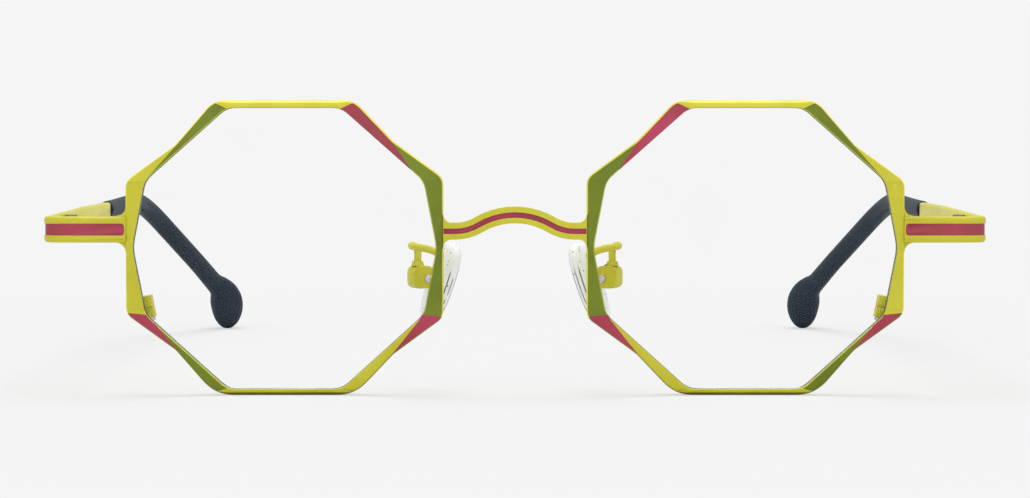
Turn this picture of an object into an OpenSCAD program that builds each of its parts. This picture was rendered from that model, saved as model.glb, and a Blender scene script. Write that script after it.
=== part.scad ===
// Metal optical frame with faceted octagonal rims, folding temples and rocking nose pads.
// Left and right are the wearer's: left is +X. The front faces -Y and the temples run to +Y.
// Every piece is drawn for the left side, with y = 0 at the foremost rim facet and z = 0 on the table.

/* [Front] */
// Distance between the two rims, wall to wall at the bridge
bridge_gap = 21.1; // [19:0.1:24]
// Overall width of the front over both end pieces
front_w = 139; // [137:0.5:144]
// Height of the middle of the end piece and of the hinge
arm_z = 24.4; // [23:0.1:26]

/* [Rim] */
// Outer width of one rim
rim_w = 46.7; // [45:0.1:48]
// Outer height of one rim
rim_h = 43.4; // [42:0.1:45]
// Depth of the rim, front to back
rim_depth = 2.4; // [2:0.1:3]
// Length of the straight top and bottom sides, outside
flat_top = 20.5; // [18:0.1:23]
// Length of the straight side towards the temple, outside
flat_temple = 19.6; // [17:0.1:21]
// Length of the straight side towards the nose, outside
flat_nose = 20.6; // [18:0.1:22]
// Waist of the slanted sides: distance from the middle of the rim, across
waist_x = 16; // [15.5:0.1:16.5]
// The same, up and down, on the temple's half
waist_z_temple = 15.05; // [14.8:0.05:15.4]
// The same, up and down, on the nose's half
waist_z_nose = 15.65; // [15.3:0.05:15.8]
// Rounding of the top corners, outside
round_top = 3.5; // [1.5:0.1:5]
// Rounding of the bottom corners, outside
round_bottom = 6; // [2:0.1:7]
// Rounding of the side corners, outside
round_side = 2; // [0.5:0.1:3]
// Rounding of the waists, outside
round_waist = 3; // [1:0.1:5]
// How far the facets fall back at the outer top and bottom corners
fall_top = 0.55; // [0.2:0.05:0.8]
// How far the facets fall back at the outer side corners
fall_side = 0.85; // [0.5:0.05:1]
// How far the facets fall back at the opening's side corners
fall_inner = 0.1; // [0:0.02:0.2]
// Distance from the opening's side corner to the nearer kind of crease
crease_near = 0.9; // [0.5:0.1:1.5]
// Distance from the opening's side corner to the further kind of crease
crease_far = 2.6; // [2:0.1:3.5]
// Width of the cut through the rim at its closing block
rim_cut = 0.03; // [0.02:0.01:0.2]

/* [Lens] */
// Width of the top bar of the rim
bar_top = 1.1; // [1.1, 1.2, 1.4, 1.6]
// Width of the bottom bar of the rim
bar_bottom = 0.9; // [0.7:0.05:1.5]
// Width of the side bars of the rim, at their narrowest
bar_side = 0.95; // [0.7:0.05:1.3]
// Length of the straight top and bottom of the opening
opening_flat = 16.8; // [15:0.1:18.5]
// Half width of the opening at its side corners
opening_corner_x = 20.5; // [20:0.05:21]
// Half height of the opening at its side corners
opening_corner_z = 9.85; // [9.2:0.05:10.4]
// Rounding of the opening's corners
opening_round = 2.2; // [0.8:0.1:3]
// Depth of the V groove that holds the lens
groove_depth = 0.45; // [0.3:0.05:0.6]
// Width of the V groove at the opening
groove_w = 1.1; // [0.8:0.05:1.3]
// Metal left behind the V groove
groove_back = 0.35; // [0.25:0.05:0.5]
// Thickness of the lens
lens_t = 1.3; // [1.2:0.1:1.6]
// Radius of the lens's front surface
lens_r = 350; // [300:10:600]
// Clearance between the lens and its rim
lens_gap = 0.05; // [0.02:0.01:0.1]

/* [Bridge] */
// Height of the bridge's ribbon
bridge_h = 2.45; // [2:0.05:3]
// Depth of the bridge, front to back
bridge_depth = 1.7; // [1.2:0.1:2.2]
// Height of the crown's middle line over the table
bridge_top_z = 26.55; // [26:0.05:29]
// Height of the two feet's middle line over the table
bridge_foot_z = 24.15; // [23:0.05:25]
// Half length of the curved part
bridge_curve_x = 8.7; // [7.5:0.1:9]
// Distance from the middle at which the curve turns over
bridge_turn_x = 5.4; // [4.5:0.1:6]
// Width of the milled line
line_w = 0.8; // [0.5:0.05:1.2]
// Depth of the milled line
line_depth = 0.35; // [0.2:0.05:0.6]
// Length left plain between the milled line and each rim
line_end = 0.05; // [0.05:0.05:0.6]
// Distance from the foremost facet to the front of the bridge
bridge_set = 0.65; // [0.5:0.05:0.7]
// Fillet between the bridge and the rims
bridge_fillet = 1.2; // [0.6:0.1:1.6]

/* [End piece] */
// Height of the end piece and of the temple's front end
arm_h = 3.85; // [3.4:0.05:4.4]
// Thickness of the end piece and of the temple
arm_t = 1.4; // [1.2:0.05:1.7]
// Distance from the foremost facet to the front of the end piece
end_set = 0.6; // [0.4:0.05:0.9]
// Outer radius of the corner where the end piece turns back
corner_r = 2.3; // [1.8:0.1:3.5]
// Height of the milled groove
milled_h = 1.75; // [1.2:0.05:2.2]
// Depth of the milled groove
milled_depth = 0.15; // [0.1:0.05:0.5]
// Length left plain between the rim and the milled groove
milled_start = 0.2; // [0.1:0.05:0.6]
// Corner radius of the groove's end beside the rim
milled_round = 0.5; // [0.2:0.05:0.6]
// Fillet between the end piece and the rim
end_fillet = 1.5; // [0.8:0.1:2]

/* [Hinge] */
// Distance from the foremost facet to the hinge's axis
hinge_y = 11.2; // [10.5:0.1:13]
// Radius of the knuckles
knuckle_r = 1.15; // [1.05:0.05:1.25]
// Gap between the knuckles and the inner face of the arm
hinge_inset = 0.15; // [0.1:0.05:0.3]
// Gap between each butt of the arm and the hinge's axis
butt_gap = 0.05; // [0.03:0.01:0.1]
// Clearance of a turning pin in its bore
pivot_gap = 0.03; // [0.02:0.01:0.05]
// Radius of the hinge screw's head
hinge_head_r = 0.95; // [0.8:0.05:1.1]
// Height of the hinge screw's head
hinge_head_h = 0.4; // [0.3:0.05:0.5]
// Height of the hinge over its three knuckles
hinge_h = 3.2; // [3:0.05:3.4]
// Distance of the hinge's middle below the middle of the end piece
hinge_drop = 0.2; // [0.1:0.05:0.2]
// Gap between knuckles
knuckle_gap = 0.06; // [0.04:0.01:0.12]
// Radius of the hinge screw's shank
hinge_screw_r = 0.55; // [0.45:0.05:0.65]
// Length of each hinge leaf's plate
leaf_len = 5; // [4:0.1:6.5]
// Thickness of each hinge leaf's plate
leaf_t = 0.85; // [0.6:0.05:1]

/* [Closing block] */
// Width of the closing block, across the rim
block_w = 2; // [1.6:0.1:2.2]
// Depth of the closing block behind the rim
block_deep = 3.1; // [2.6:0.1:3.6]
// Height of the two halves together
block_h = 3.3; // [2.8:0.1:4]
// Distance from the middle of the rim down to the block's seam
block_drop = 8.9; // [7:0.1:9.2]
// How far the block reaches past the rim's opening, behind the lens
block_inset = 1.1; // [0.4:0.1:1.2]
// Rounding of the block's rear edges
block_round = 0.6; // [0.3:0.05:0.9]
// Place of the rim screw behind the middle of the block
screw_set = 0.3; // [0:0.05:0.5]
// Radius of the rim screw
rim_screw_r = 0.5; // [0.4:0.05:0.6]
// Radius of the rim screw's head
rim_head_r = 0.85; // [0.75:0.05:0.95]
// Height of the rim screw's head
rim_head_h = 0.45; // [0.3:0.05:0.6]
// Clearance of a fixed screw in its hole
thread_gap = 0.02; // [0.01:0.01:0.04]

/* [Temple] */
// Length of the bare temple, from the hinge's axis to the tip's mouth
temple_len = 49; // [45:0.5:55]
// Height of the temple where it enters its tip
temple_end_h = 2.4; // [2:0.05:2.8]
// Rise of the temple's middle line along the bare length
temple_rise = 0.8; // [0:0.1:1.5]
// Inward lean of the temple's line, in degrees
temple_lean = 0.75; // [0:0.25:1.5]
// Length of the milled groove on the temple
temple_groove_len = 30; // [10:1:36]

/* [Tip] */
// Distance from the tip's mouth to the middle of the bend
bend_at = 43; // [39:0.5:48]
// Angle of the bend, in degrees
bend_angle = 37; // [34:0.5:40]
// Radius of the bend
bend_r = 25; // [18:0.5:32]
// Lean of the bend's plane towards the head, in degrees
bend_lean = 32.5; // [28:0.5:35]
// Half thickness of the tip at its mouth
tip_half_t = 1.2; // [1.1:0.05:1.4]
// Half height of the tip at its mouth
tip_half_h = 1.45; // [1.3:0.05:1.7]
// Half thickness of the tip behind the bend
drop_half_t = 1.45; // [1.2:0.05:1.8]
// Half height of the tip behind the bend
drop_half_h = 1.85; // [1.5:0.05:2.1]
// Radius of the turn into the egg
turn_r = 6; // [5:0.5:8]
// Straight length at the end of the egg
tail_len = 3.2; // [2:0.1:4]
// Length of the egg along the tip
egg_len = 11; // [9:0.5:12]
// Share of the egg's length at which it is widest
egg_wide = 0.62; // [0.55:0.01:0.7]
// Half width of the egg
egg_half_w = 3.15; // [2.6:0.05:3.8]
// Half depth of the egg
egg_half_d = 3; // [2.4:0.05:3.4]
// Length of the core wire inside the tip
core_len = 67; // [59:1:70]
// Radius of the core wire
core_r = 0.65; // [0.5:0.05:0.75]
// Clearance between the core wire and the tip
core_gap = 0.05; // [0.02:0.01:0.1]

/* [Nose pad] */
// Pivot of the pad: distance from the middle of the frame
pivot_x = 13.5; // [13:0.1:14.5]
// Pivot of the pad: distance behind the foremost facet
pivot_y = 8.4; // [8:0.1:9.5]
// Pivot of the pad: height over the table
pivot_z = 16.8; // [16:0.1:17.5]
// Splay of the pads, seen from above, in degrees
pad_splay = 25; // [18:1:30]
// Tilt of the pads, seen from the front, in degrees
pad_tilt = 20; // [14:1:22]
// Length of the pad
pad_len = 13; // [11:0.5:14]
// Width of the pad
pad_w = 7.6; // [6.5:0.1:8]
// Thickness of the pad
pad_t = 2.4; // [2:0.1:2.8]
// Distance from the pivot to the back of the pad
pad_reach = 1.7; // [1.6:0.05:2]
// Radius of the pad arm's wire
wire_r = 0.55; // [0.45:0.05:0.6]
// Width of the pad's box, along its screw
box_w = 2.6; // [2.4:0.1:3]
// Reach of the box from the pivot towards the nose
box_front = 0.9; // [0.8:0.05:1]
// Reach of the box from the pivot away from the nose
box_back = 2.3; // [2.1:0.1:2.6]
// Reach of the box below the pivot
box_low = 1.45; // [1.3:0.05:1.5]
// Reach of the box above the pivot
box_top = 1.9; // [1.8:0.05:2.1]
// Rounding of the box
box_round = 0.95; // [0.4:0.05:1.2]
// Depth of the wire's end in the box
stem_in = 0.4; // [0.2:0.05:0.5]
// Radius of the box's collar, at its foot
collar_r = 0.98; // [0.85:0.01:1.1]
// Height of the collar
collar_h = 0.7; // [0.4:0.05:1]
// Radius of the pad screw
pad_screw_r = 0.36; // [0.3:0.02:0.42]
// Radius of the pad screw's head
pad_head_r = 0.6; // [0.5:0.05:0.7]
// Height of the pad screw's head
pad_head_h = 0.25; // [0.15:0.05:0.4]
// Radius of the lug on the pad screw
lug_r = 0.8; // [0.7:0.05:0.85]
// Thickness of the lug
lug_t = 1.1; // [0.9:0.05:1.2]
// Clearance round the lug
lug_gap = 0.1; // [0.06:0.02:0.14]
// Height of the neck between the lug and its plate
neck_h = 0.9; // [0.7:0.05:1]
// Depth of the plate inside the pad
plate_set = 0.7; // [0.6:0.05:0.9]
// Thickness of the plate
plate_t = 0.5; // [0.4:0.05:0.7]
// Length of the plate
plate_len = 6; // [4:0.5:7.5]
// Width of the plate
plate_w = 3; // [2:0.1:3.6]
// Clearance of the plate in the soft pad
soft_gap = 0.01; // [0.005:0.005:0.03]

/* [Hidden] */
$fn = 48;
// Angle of one step along a rounded outline
step = 9;
// How far cutting shapes reach past what they cut
over = 1;
// How far the fillets of the end piece stand back from its front face
fillet_set = 0.3;
// Distance from a knuckle's round to the plate of its leaf
leaf_gap = 0.25;
// Straight length of the temple behind the hinge, and share of its length at which its taper ends
straight_len = 8;
taper_share = 0.55;
// How much higher than its end the temple stands where its taper ends
taper_rise = 1.15;
// How far the pad's core runs into its own plate
plate_join = 0.05;
// Widening of the pad towards its top
pad_flare = 0.08;

// Places of the rim
half_w = rim_w / 2;
half_h = rim_h / 2;
rim_x = bridge_gap / 2 + half_w;
rim_z = half_h;
outer_edge_x = rim_x + half_w;
opening_top = half_h - bar_top;
opening_bottom = half_h - bar_bottom;
opening_side = half_w - bar_side;
groove_y = rim_depth - groove_back - groove_w / 2;

// Places of the end piece, the hinge and the temple
outer_x = front_w / 2;
arm_x = outer_x - arm_t;
hinge_x = arm_x - hinge_inset - knuckle_r;
arm_low = arm_z - arm_h / 2;
leaf_start = knuckle_r + leaf_gap;
knuckle_h = (hinge_h - 2 * knuckle_gap) / 3;
hinge_low = arm_z - hinge_drop - hinge_h / 2;
mouth = [outer_x - arm_t / 2, hinge_y + temple_len, arm_z + temple_rise];

function unit(v) = v / norm(v);

// Outline with rounded corners: each corner is [x, z, radius], and concave corners work as well
function corner_arc(a, b, c) =
    let (
        p = [b[0], b[1]],
        u = unit([a[0], a[1]] - p),
        v = unit([c[0], c[1]] - p),
        opening = acos(u * v),
        centre = p + unit(u + v) * b[2] / sin(opening / 2),
        from = p + u * b[2] / tan(opening / 2) - centre,
        turn = sign(u[0] * v[1] - u[1] * v[0]) * (opening - 180),
        n = max(1, ceil(abs(turn) / step))
    )
    [for (i = [0 : n]) centre + [
        from[0] * cos(turn * i / n) - from[1] * sin(turn * i / n),
        from[0] * sin(turn * i / n) + from[1] * cos(turn * i / n)
    ]];
function rounded(corners) =
    let (n = len(corners))
    [for (i = [0 : n - 1]) each corner_arc(corners[(i + n - 1) % n], corners[i], corners[(i + 1) % n])];

// Solid through rings of points, each ring listed anticlockwise as seen from the front
module skin(rings) {
    n = len(rings[0]);
    last = (len(rings) - 1) * n;
    polyhedron(
        points = [for (ring = rings) each ring],
        faces = concat(
            [[for (i = [n - 1 : -1 : 0]) i]],
            [for (k = [0 : len(rings) - 2], i = [0 : n - 1], half = [0, 1])
                let (a = k * n + i, b = k * n + (i + 1) % n)
                half == 0 ? [a, b, b + n] : [a, b + n, a + n]],
            [[for (i = [0 : n - 1]) last + i]]
        )
    );
}

// Sheet of the given outline in the plane of the front, from y = from to y = to
module upright(from, to) {
    translate([0, to, 0]) rotate([90, 0, 0]) linear_extrude(to - from) children();
}

// Left piece as drawn, or its mirror image
module side(left) {
    if (left) children();
    else mirror([1, 0, 0]) children();
}

// Rim, about its own middle: x grows towards the temple
rim_outline = rounded([
    [flat_top / 2, half_h, round_top],
    [-flat_top / 2, half_h, round_top],
    [-waist_x, waist_z_nose, round_waist],
    [-half_w, flat_nose / 2, round_side],
    [-half_w, -flat_nose / 2, round_side],
    [-waist_x, -waist_z_nose, round_waist],
    [-flat_top / 2, -half_h, round_bottom],
    [flat_top / 2, -half_h, round_bottom],
    [waist_x, -waist_z_temple, round_waist],
    [half_w, -flat_temple / 2, round_side],
    [half_w, flat_temple / 2, round_side],
    [waist_x, waist_z_temple, round_waist]
]);
opening_outline = rounded([
    [opening_flat / 2, opening_top, opening_round],
    [-opening_flat / 2, opening_top, opening_round],
    [-opening_corner_x, opening_corner_z, opening_round],
    [-opening_side, 0, 2 * opening_round],
    [-opening_corner_x, -opening_corner_z, opening_round],
    [-opening_flat / 2, -opening_bottom, opening_round],
    [opening_flat / 2, -opening_bottom, opening_round],
    [opening_corner_x, -opening_corner_z, opening_round],
    [opening_side, 0, 2 * opening_round],
    [opening_corner_x, opening_corner_z, opening_round]
]);
// The opening's outline at depth y, grown by the given amount all round
function opening_ring(y, grow) =
    [for (p = opening_outline) [p[0] * (1 + grow / opening_side), y, p[1] * (1 + grow / opening_top)]];

// Depth at point q of the plane through three [x, z, depth] points
function plane_at(a, b, c, q) =
    let (n = cross(b - a, c - a)) a[2] - ((q[0] - a[0]) * n[0] + (q[1] - a[1]) * n[1]) / n[2];
// Crease between two flat facets, from i at the opening to o at the waist
function crease(side_line, top_line, i, o) =
    let (
        low = [o[0], o[1], 0],
        high = [o[0], o[1], 1],
        gap_low = plane_at(side_line[0], side_line[1], low, i) - plane_at(top_line[0], top_line[1], low, i),
        gap_high = plane_at(side_line[0], side_line[1], high, i)
            - plane_at(top_line[0], top_line[1], high, i),
        fall = gap_low / (gap_low - gap_high)
    )
    [[i[0], i[1], plane_at(top_line[0], top_line[1], [o[0], o[1], fall], i)], [o[0], o[1], fall]];
// Point on the slanted edge of the opening, the given distance from its side corner
function on_slant(sx, sz, distance) =
    let (
        corner = [sx * opening_corner_x, sz * opening_corner_z],
        end = [sx * opening_flat / 2, sz * (sz > 0 ? opening_top : opening_bottom)]
    )
    corner + unit(end - corner) * distance;
function side_line(sx, sz) = [
    [sx * opening_corner_x, sz * opening_corner_z, fall_inner],
    [sx * half_w, sz * (sx > 0 ? flat_temple : flat_nose) / 2, fall_side]
];
function top_line(sx, sz) = [
    [sx * opening_flat / 2, sz * (sz > 0 ? opening_top : opening_bottom), 0],
    [sx * flat_top / 2, sz * half_h, fall_top]
];
function waist_line(sx, sz) = crease(
    side_line(sx, sz), top_line(sx, sz),
    on_slant(sx, sz, sx == sz ? crease_near : crease_far),
    [sx * waist_x, sz * (sx > 0 ? waist_z_temple : waist_z_nose)]
);
// Edges between the facets, anticlockwise from the upper corner on the temple's side
facet_edges = [
    side_line(1, 1), waist_line(1, 1), top_line(1, 1),
    top_line(-1, 1), waist_line(-1, 1), side_line(-1, 1),
    side_line(-1, -1), waist_line(-1, -1), top_line(-1, -1),
    top_line(1, -1), waist_line(1, -1), side_line(1, -1)
];
// Where the hollow of the facet block lies, as a share of the way from the middle to the inner points
inside_share = 0.9;
// Solid under the facets: wider than the rim, hollow in the middle
module facet_block() {
    n = len(facet_edges);
    inside = [for (e = facet_edges) [inside_share * e[0][0], e[0][2], inside_share * e[0][1]]];
    inner = [for (e = facet_edges) [e[0][0], e[0][2], e[0][1]]];
    outer = [for (e = facet_edges)
        let (reach = unit([e[1][0] - e[0][0], e[1][1] - e[0][1]]),
            slope = (e[1][2] - e[0][2]) / norm([e[1][0] - e[0][0], e[1][1] - e[0][1]]))
        [e[1][0] + reach[0] * over, e[1][2] + slope * over, e[1][1] + reach[1] * over]];
    back = rim_depth + over;
    rings = [
        inside, inner, outer,
        [for (p = outer) [p[0], back, p[2]]],
        [for (p = inside) [p[0], back, p[2]]]
    ];
    polyhedron(
        points = [for (ring = rings) each ring],
        faces = [for (k = [0 : 4], i = [0 : n - 1], half = [0, 1])
            let (
                a = k * n + i,
                b = k * n + (i + 1) % n,
                c = (k + 1) % 5 * n + (i + 1) % n,
                d = (k + 1) % 5 * n + i
            )
            half == 0 ? [a, b, c] : [a, c, d]]
    );
}
module rim(left) {
    color("#d8d23f") side(left) difference() {
        translate([rim_x, 0, rim_z]) intersection() {
            difference() {
                upright(-over, rim_depth) polygon(rim_outline);
                skin([
                    opening_ring(-2 * over, 0),
                    opening_ring(groove_y - groove_w / 2, 0),
                    opening_ring(groove_y, groove_depth),
                    opening_ring(groove_y + groove_w / 2, 0),
                    opening_ring(rim_depth + over, 0)
                ]);
            }
            facet_block();
        }
        block_place() cube([5 * block_w, 4 * block_deep, rim_cut], center = true);
    }
}

// Lens with a V edge that sits in the rim's groove
module lens(left) {
    lens_front = groove_y - lens_t / 2 - opening_side * opening_side / 2 / lens_r;
    color("#e8eef0") side(left) translate([rim_x, 0, rim_z]) difference() {
        intersection() {
            skin([
                opening_ring(-over, -lens_gap),
                opening_ring(groove_y - groove_w / 2, -lens_gap),
                opening_ring(groove_y, groove_depth - lens_gap),
                opening_ring(groove_y + groove_w / 2, -lens_gap),
                opening_ring(rim_depth + over, -lens_gap)
            ]);
            translate([0, lens_front + lens_r, 0]) sphere(lens_r, $fn = 400);
        }
        translate([0, lens_front + lens_r, 0]) sphere(lens_r - lens_t, $fn = 400);
    }
}

// Bridge: two arcs that turn over between the crown and each foot
bridge_turn = 2 * atan((bridge_top_z - bridge_foot_z) / bridge_curve_x);
crown_r = bridge_turn_x / sin(bridge_turn);
foot_r = (bridge_curve_x - bridge_turn_x) / sin(bridge_turn);
// Edge of the ribbon at the given offset from its middle line, from the crown to the straight foot
function ribbon_edge(offset) = concat(
    [for (i = [0 : 5]) let (a = bridge_turn * i / 5)
        [(crown_r + offset) * sin(a), bridge_top_z - crown_r + (crown_r + offset) * cos(a)]],
    [for (i = [1 : 4]) let (a = bridge_turn * (1 - i / 4))
        [bridge_curve_x - (foot_r - offset) * sin(a), bridge_foot_z + foot_r - (foot_r - offset) * cos(a)]]
);
function foot_fillet(dir) = [for (a = [0 : 15 : 90])
    [bridge_gap / 2 - bridge_fillet * (1 - sin(a)),
        bridge_foot_z + dir * (bridge_h / 2 + bridge_fillet * (1 - cos(a)))]];
function mirrored(points) = [for (i = [len(points) - 1 : -1 : 1]) [-points[i][0], points[i][1]]];
function reversed(points) = [for (i = [len(points) - 1 : -1 : 0]) points[i]];
module bridge() {
    upper = concat(ribbon_edge(bridge_h / 2), foot_fillet(1));
    lower = concat(ribbon_edge(-bridge_h / 2), foot_fillet(-1));
    line_top = concat(ribbon_edge(line_w / 2), [[bridge_gap / 2 - line_end, bridge_foot_z + line_w / 2]]);
    line_low = concat(ribbon_edge(-line_w / 2), [[bridge_gap / 2 - line_end, bridge_foot_z - line_w / 2]]);
    color("#d8d23f") difference() {
        upright(bridge_set, bridge_set + bridge_depth)
            polygon(concat(mirrored(upper), upper, reversed(lower), reversed(mirrored(lower))));
        upright(bridge_set - over, bridge_set + line_depth)
            polygon(concat(mirrored(line_top), line_top, reversed(line_low), reversed(mirrored(line_low))));
    }
}

// Sections of the end piece, plain and with the milled groove: x across the wall, outer face at x = 0
module plain_section() {
    translate([-arm_t, 0]) square([arm_t, arm_h]);
}
module milled_section() {
    difference() {
        plain_section();
        translate([-milled_depth, (arm_h - milled_h) / 2]) square([milled_depth + over, milled_h]);
    }
}
// Groove seen from the front, with round corners at its start
module groove_outline(length) {
    translate([milled_round, 0]) square([length - milled_round, milled_h]);
    translate([0, milled_round]) square([2 * milled_round, milled_h - 2 * milled_round]);
    for (z = [milled_round, milled_h - milled_round])
        translate([milled_round, z]) circle(milled_round, $fn = 40);
}
// Concave corner between a wall and a rim
module fillet(r) {
    difference() {
        square(r);
        translate([r, r]) circle(r);
    }
}
module end_piece(left) {
    bar_end = outer_x - corner_r;
    color("#d8d23f") side(left) {
        translate([0, 0, arm_low]) {
            difference() {
                translate([outer_edge_x, end_set, 0]) rotate([90, 0, 90])
                    linear_extrude(bar_end - outer_edge_x) mirror([1, 0]) plain_section();
                translate([outer_edge_x + milled_start, 0, (arm_h - milled_h) / 2])
                    upright(end_set - over, end_set + milled_depth) groove_outline(bar_end - outer_edge_x);
            }
            translate([bar_end, end_set + corner_r, 0]) rotate([0, 0, -90])
                rotate_extrude(angle = 90, $fn = 96) translate([corner_r, 0]) milled_section();
            translate([outer_x, hinge_y - butt_gap, 0]) rotate([90, 0, 0])
                linear_extrude(hinge_y - butt_gap - end_set - corner_r) milled_section();
        }
        for (up = [0, 1]) translate([outer_edge_x, 0, arm_z]) mirror([0, 0, up])
            translate([0, 0, arm_h / 2]) upright(end_set + fillet_set, end_set + arm_t) fillet(end_fillet);
    }
}

// Closing block: the rim is cut here, and a screw draws its two halves together
block_turn = atan((opening_side - opening_corner_x) / opening_corner_z);
block_side = opening_corner_x + (opening_corner_z - block_drop) * tan(block_turn);
module block_place() {
    translate([rim_x + block_side, rim_depth, rim_z - block_drop]) rotate([0, block_turn, 0])
        translate([block_w / 2 - block_inset, block_deep / 2, 0]) children();
}
module block_half(left, up) {
    color("#c9c23c") side(left) block_place() mirror([0, 0, up ? 0 : 1])
        translate([0, 0, rim_cut / 2]) difference() {
            linear_extrude(block_h / 2 - rim_cut / 2) hull() {
                translate([-block_w / 2, -block_deep / 2]) square([block_w, block_deep / 2]);
                for (x = [-1, 1]) translate([x * (block_w / 2 - block_round), block_deep / 2 - block_round])
                    circle(block_round);
            }
            translate([0, screw_set, -over]) cylinder(r = rim_screw_r + thread_gap, h = block_h);
        }
}
// Width of the driver slot in the screw head
driver_slot = 0.25;
module rim_screw(left) {
    color("#b9bcc0") side(left) block_place() translate([0, screw_set, -block_h / 2 - rim_head_h]) {
        cylinder(r = rim_screw_r, h = block_h + rim_head_h);
        difference() {
            cylinder(r = rim_head_r, h = rim_head_h);
            translate([0, 0, rim_head_h / 4])
                cube([2 * rim_head_r + over, driver_slot, rim_head_h / 2 + 0.01], center = true);
        }
    }
}

// Pad arm: wire from the back of the rim, once round, and down into the pad's box
function spline(points, n) = [for (k = [1 : len(points) - 3], i = [0 : n - 1])
    let (t = i / n, a = points[k - 1], b = points[k], c = points[k + 1], d = points[k + 2])
    0.5 * (2 * b + (c - a) * t + (2 * a - 5 * b + 4 * c - d) * t * t
        + (3 * b - a - 3 * c + d) * t * t * t)];
// Round tube along a path, with a side direction that the path never points along
module tube(path, r, sides = 12, across = [0, 0, 1]) {
    n = len(path);
    skin([for (i = [0 : n - 1])
        let (
            dir = unit(path[min(i + 1, n - 1)] - path[max(i - 1, 0)]),
            u = unit(cross(dir, across)),
            v = cross(u, dir)
        )
        [for (j = [0 : sides - 1]) path[i] + r * (u * cos(360 * j / sides) + v * sin(360 * j / sides))]]);
}
module pad_place() {
    translate([pivot_x, pivot_y, pivot_z]) rotate([0, 0, -pad_splay]) children();
}
// Where the wire goes into the pad's box, and its foot on the rim
stem = [pivot_x + box_back / 2 * cos(pad_splay), pivot_y - box_back / 2 * sin(pad_splay)];
arm_foot = [(bridge_gap + bar_side) / 2, rim_depth, pivot_z + 3.6];
box_roof = pivot_z + box_top;
// Points of the wire behind its foot: out beside the box, up and round behind it
arm_bends = [[0, -1.5, 0], [0, 0.4, 0], [0.6, 1.6, 0.5], [2.1, 2.9, 0.95], [3.6, 4, 1.15], [4.4, 5.4, 1.25],
    [4.3, 6.7, 1.3], [3.7, 7.1, 0.95]];
// Last bend of the wire and the top of its straight stem, from the middle of the box roof
stem_bends = [[0, 0.7, 1.9], [0, 0, 0.9], [0, 0, 0]];
// Length of the straight wire brazed to the rim, and of the one that carries the stem on above the roof
arm_root = 0.6;
stem_over = 1.2;
module pad_arm(left) {
    path = concat(
        [for (p = arm_bends) arm_foot + p],
        [for (p = stem_bends) [stem[0], stem[1], box_roof] + p]
    );
    color("#d8d23f") side(left) {
        translate(arm_foot) rotate([-90, 0, 0]) cylinder(r = wire_r, h = arm_root);
        tube(spline(path, 4), wire_r, across = [0.3, -0.4, 0.9]);
        translate([stem[0], stem[1], box_roof - stem_in]) cylinder(r = wire_r, h = stem_in + stem_over);
    }
}
// Room behind the lug and above it in the box, and wall of the collar at its top
room_back = 0.15;
room_top = 0.3;
collar_wall = 0.25;
// Box: rounded cup that the pad's lug enters from the nose side
module pad_box(left) {
    color("#d0c93c") side(left) {
        difference() {
            pad_place() difference() {
                hull() for (x = [-box_front + box_round, box_back - box_round],
                        z = [-box_low + box_round, box_top - box_round])
                    translate([x, 0, z]) rotate([90, 0, 0])
                        cylinder(r = box_round, h = box_w, center = true, $fn = 32);
                translate([-box_front - over, -lug_t / 2 - lug_gap, -box_low - over])
                    cube([box_front + over + lug_r + lug_gap + room_back, lug_t + 2 * lug_gap,
                        box_low + over + lug_r + room_top]);
                rotate([90, 0, 0]) cylinder(r = pad_screw_r + thread_gap, h = 2 * box_w, center = true);
            }
            translate([stem[0], stem[1], box_roof - stem_in]) cylinder(r = wire_r, h = stem_in + over);
        }
        translate([stem[0], stem[1], box_roof]) difference() {
            cylinder(r1 = collar_r, r2 = wire_r + collar_wall, h = collar_h);
            translate([0, 0, -over]) cylinder(r = wire_r, h = collar_h + 2 * over);
        }
    }
}
module pad_screw(left) {
    color("#b9bcc0") side(left) pad_place() rotate([90, 0, 0]) {
        translate([0, 0, -box_w / 2]) cylinder(r = pad_screw_r, h = box_w);
        translate([0, 0, box_w / 2]) cylinder(r = pad_head_r, h = pad_head_h);
    }
}
// The pad's own frame: tilted about the screw, with the pad towards -x
module pad_tilted() {
    pad_place() rotate([0, -pad_tilt, 0]) children();
}
module pad_plate(grow) {
    translate([-pad_reach - plate_set - plate_t / 2, 0, 0]) rotate([0, 90, 0])
        linear_extrude(plate_t + 2 * grow, center = true) hull() for (z = [-1, 1])
            translate([z * (plate_len - plate_w) / 2, 0]) circle(plate_w / 2 + grow, $fn = 32);
    translate([-pad_reach - plate_set - plate_join, -lug_t / 2 - grow, -neck_h / 2 - grow])
        cube([plate_set + over, lug_t + 2 * grow, neck_h + 2 * grow]);
}
module pad_core(left) {
    color("#d9dcdf") side(left) pad_tilted() difference() {
        union() {
            rotate([90, 0, 0]) cylinder(r = lug_r, h = lug_t, center = true);
            translate([-pad_reach - plate_set - plate_join, -lug_t / 2, -neck_h / 2])
                cube([pad_reach + plate_set, lug_t, neck_h]);
            pad_plate(0);
        }
        rotate([90, 0, 0]) cylinder(r = pad_screw_r + pivot_gap, h = 2 * lug_t, center = true);
    }
}
// Nose pad: crowned on both faces, wider at the top
pad_side_power = 0.8;
pad_end_power = 0.85;
function bulged(value, power) = sign(value) * pow(abs(value), power);
function pad_ring(grow) = [for (a = [0 : 10 : 350])
    [bulged(cos(a), pad_side_power) * (pad_w / 2 - grow) * (1 + pad_flare * sin(a)),
        bulged(sin(a), pad_end_power) * (pad_len / 2 - grow)]];
module nose_pad(left) {
    color("#eef0f0") side(left) pad_tilted() difference() {
        skin([for (layer = [[0, 0.9], [0.2, 0.25], [0.5, 0], [0.8, 0.1], [0.93, 0.5], [1, 1.3]])
            [for (p = pad_ring(layer[1])) [-pad_reach - pad_t * layer[0], p[0], p[1]]]]);
        pad_plate(soft_gap);
    }
}

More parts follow.
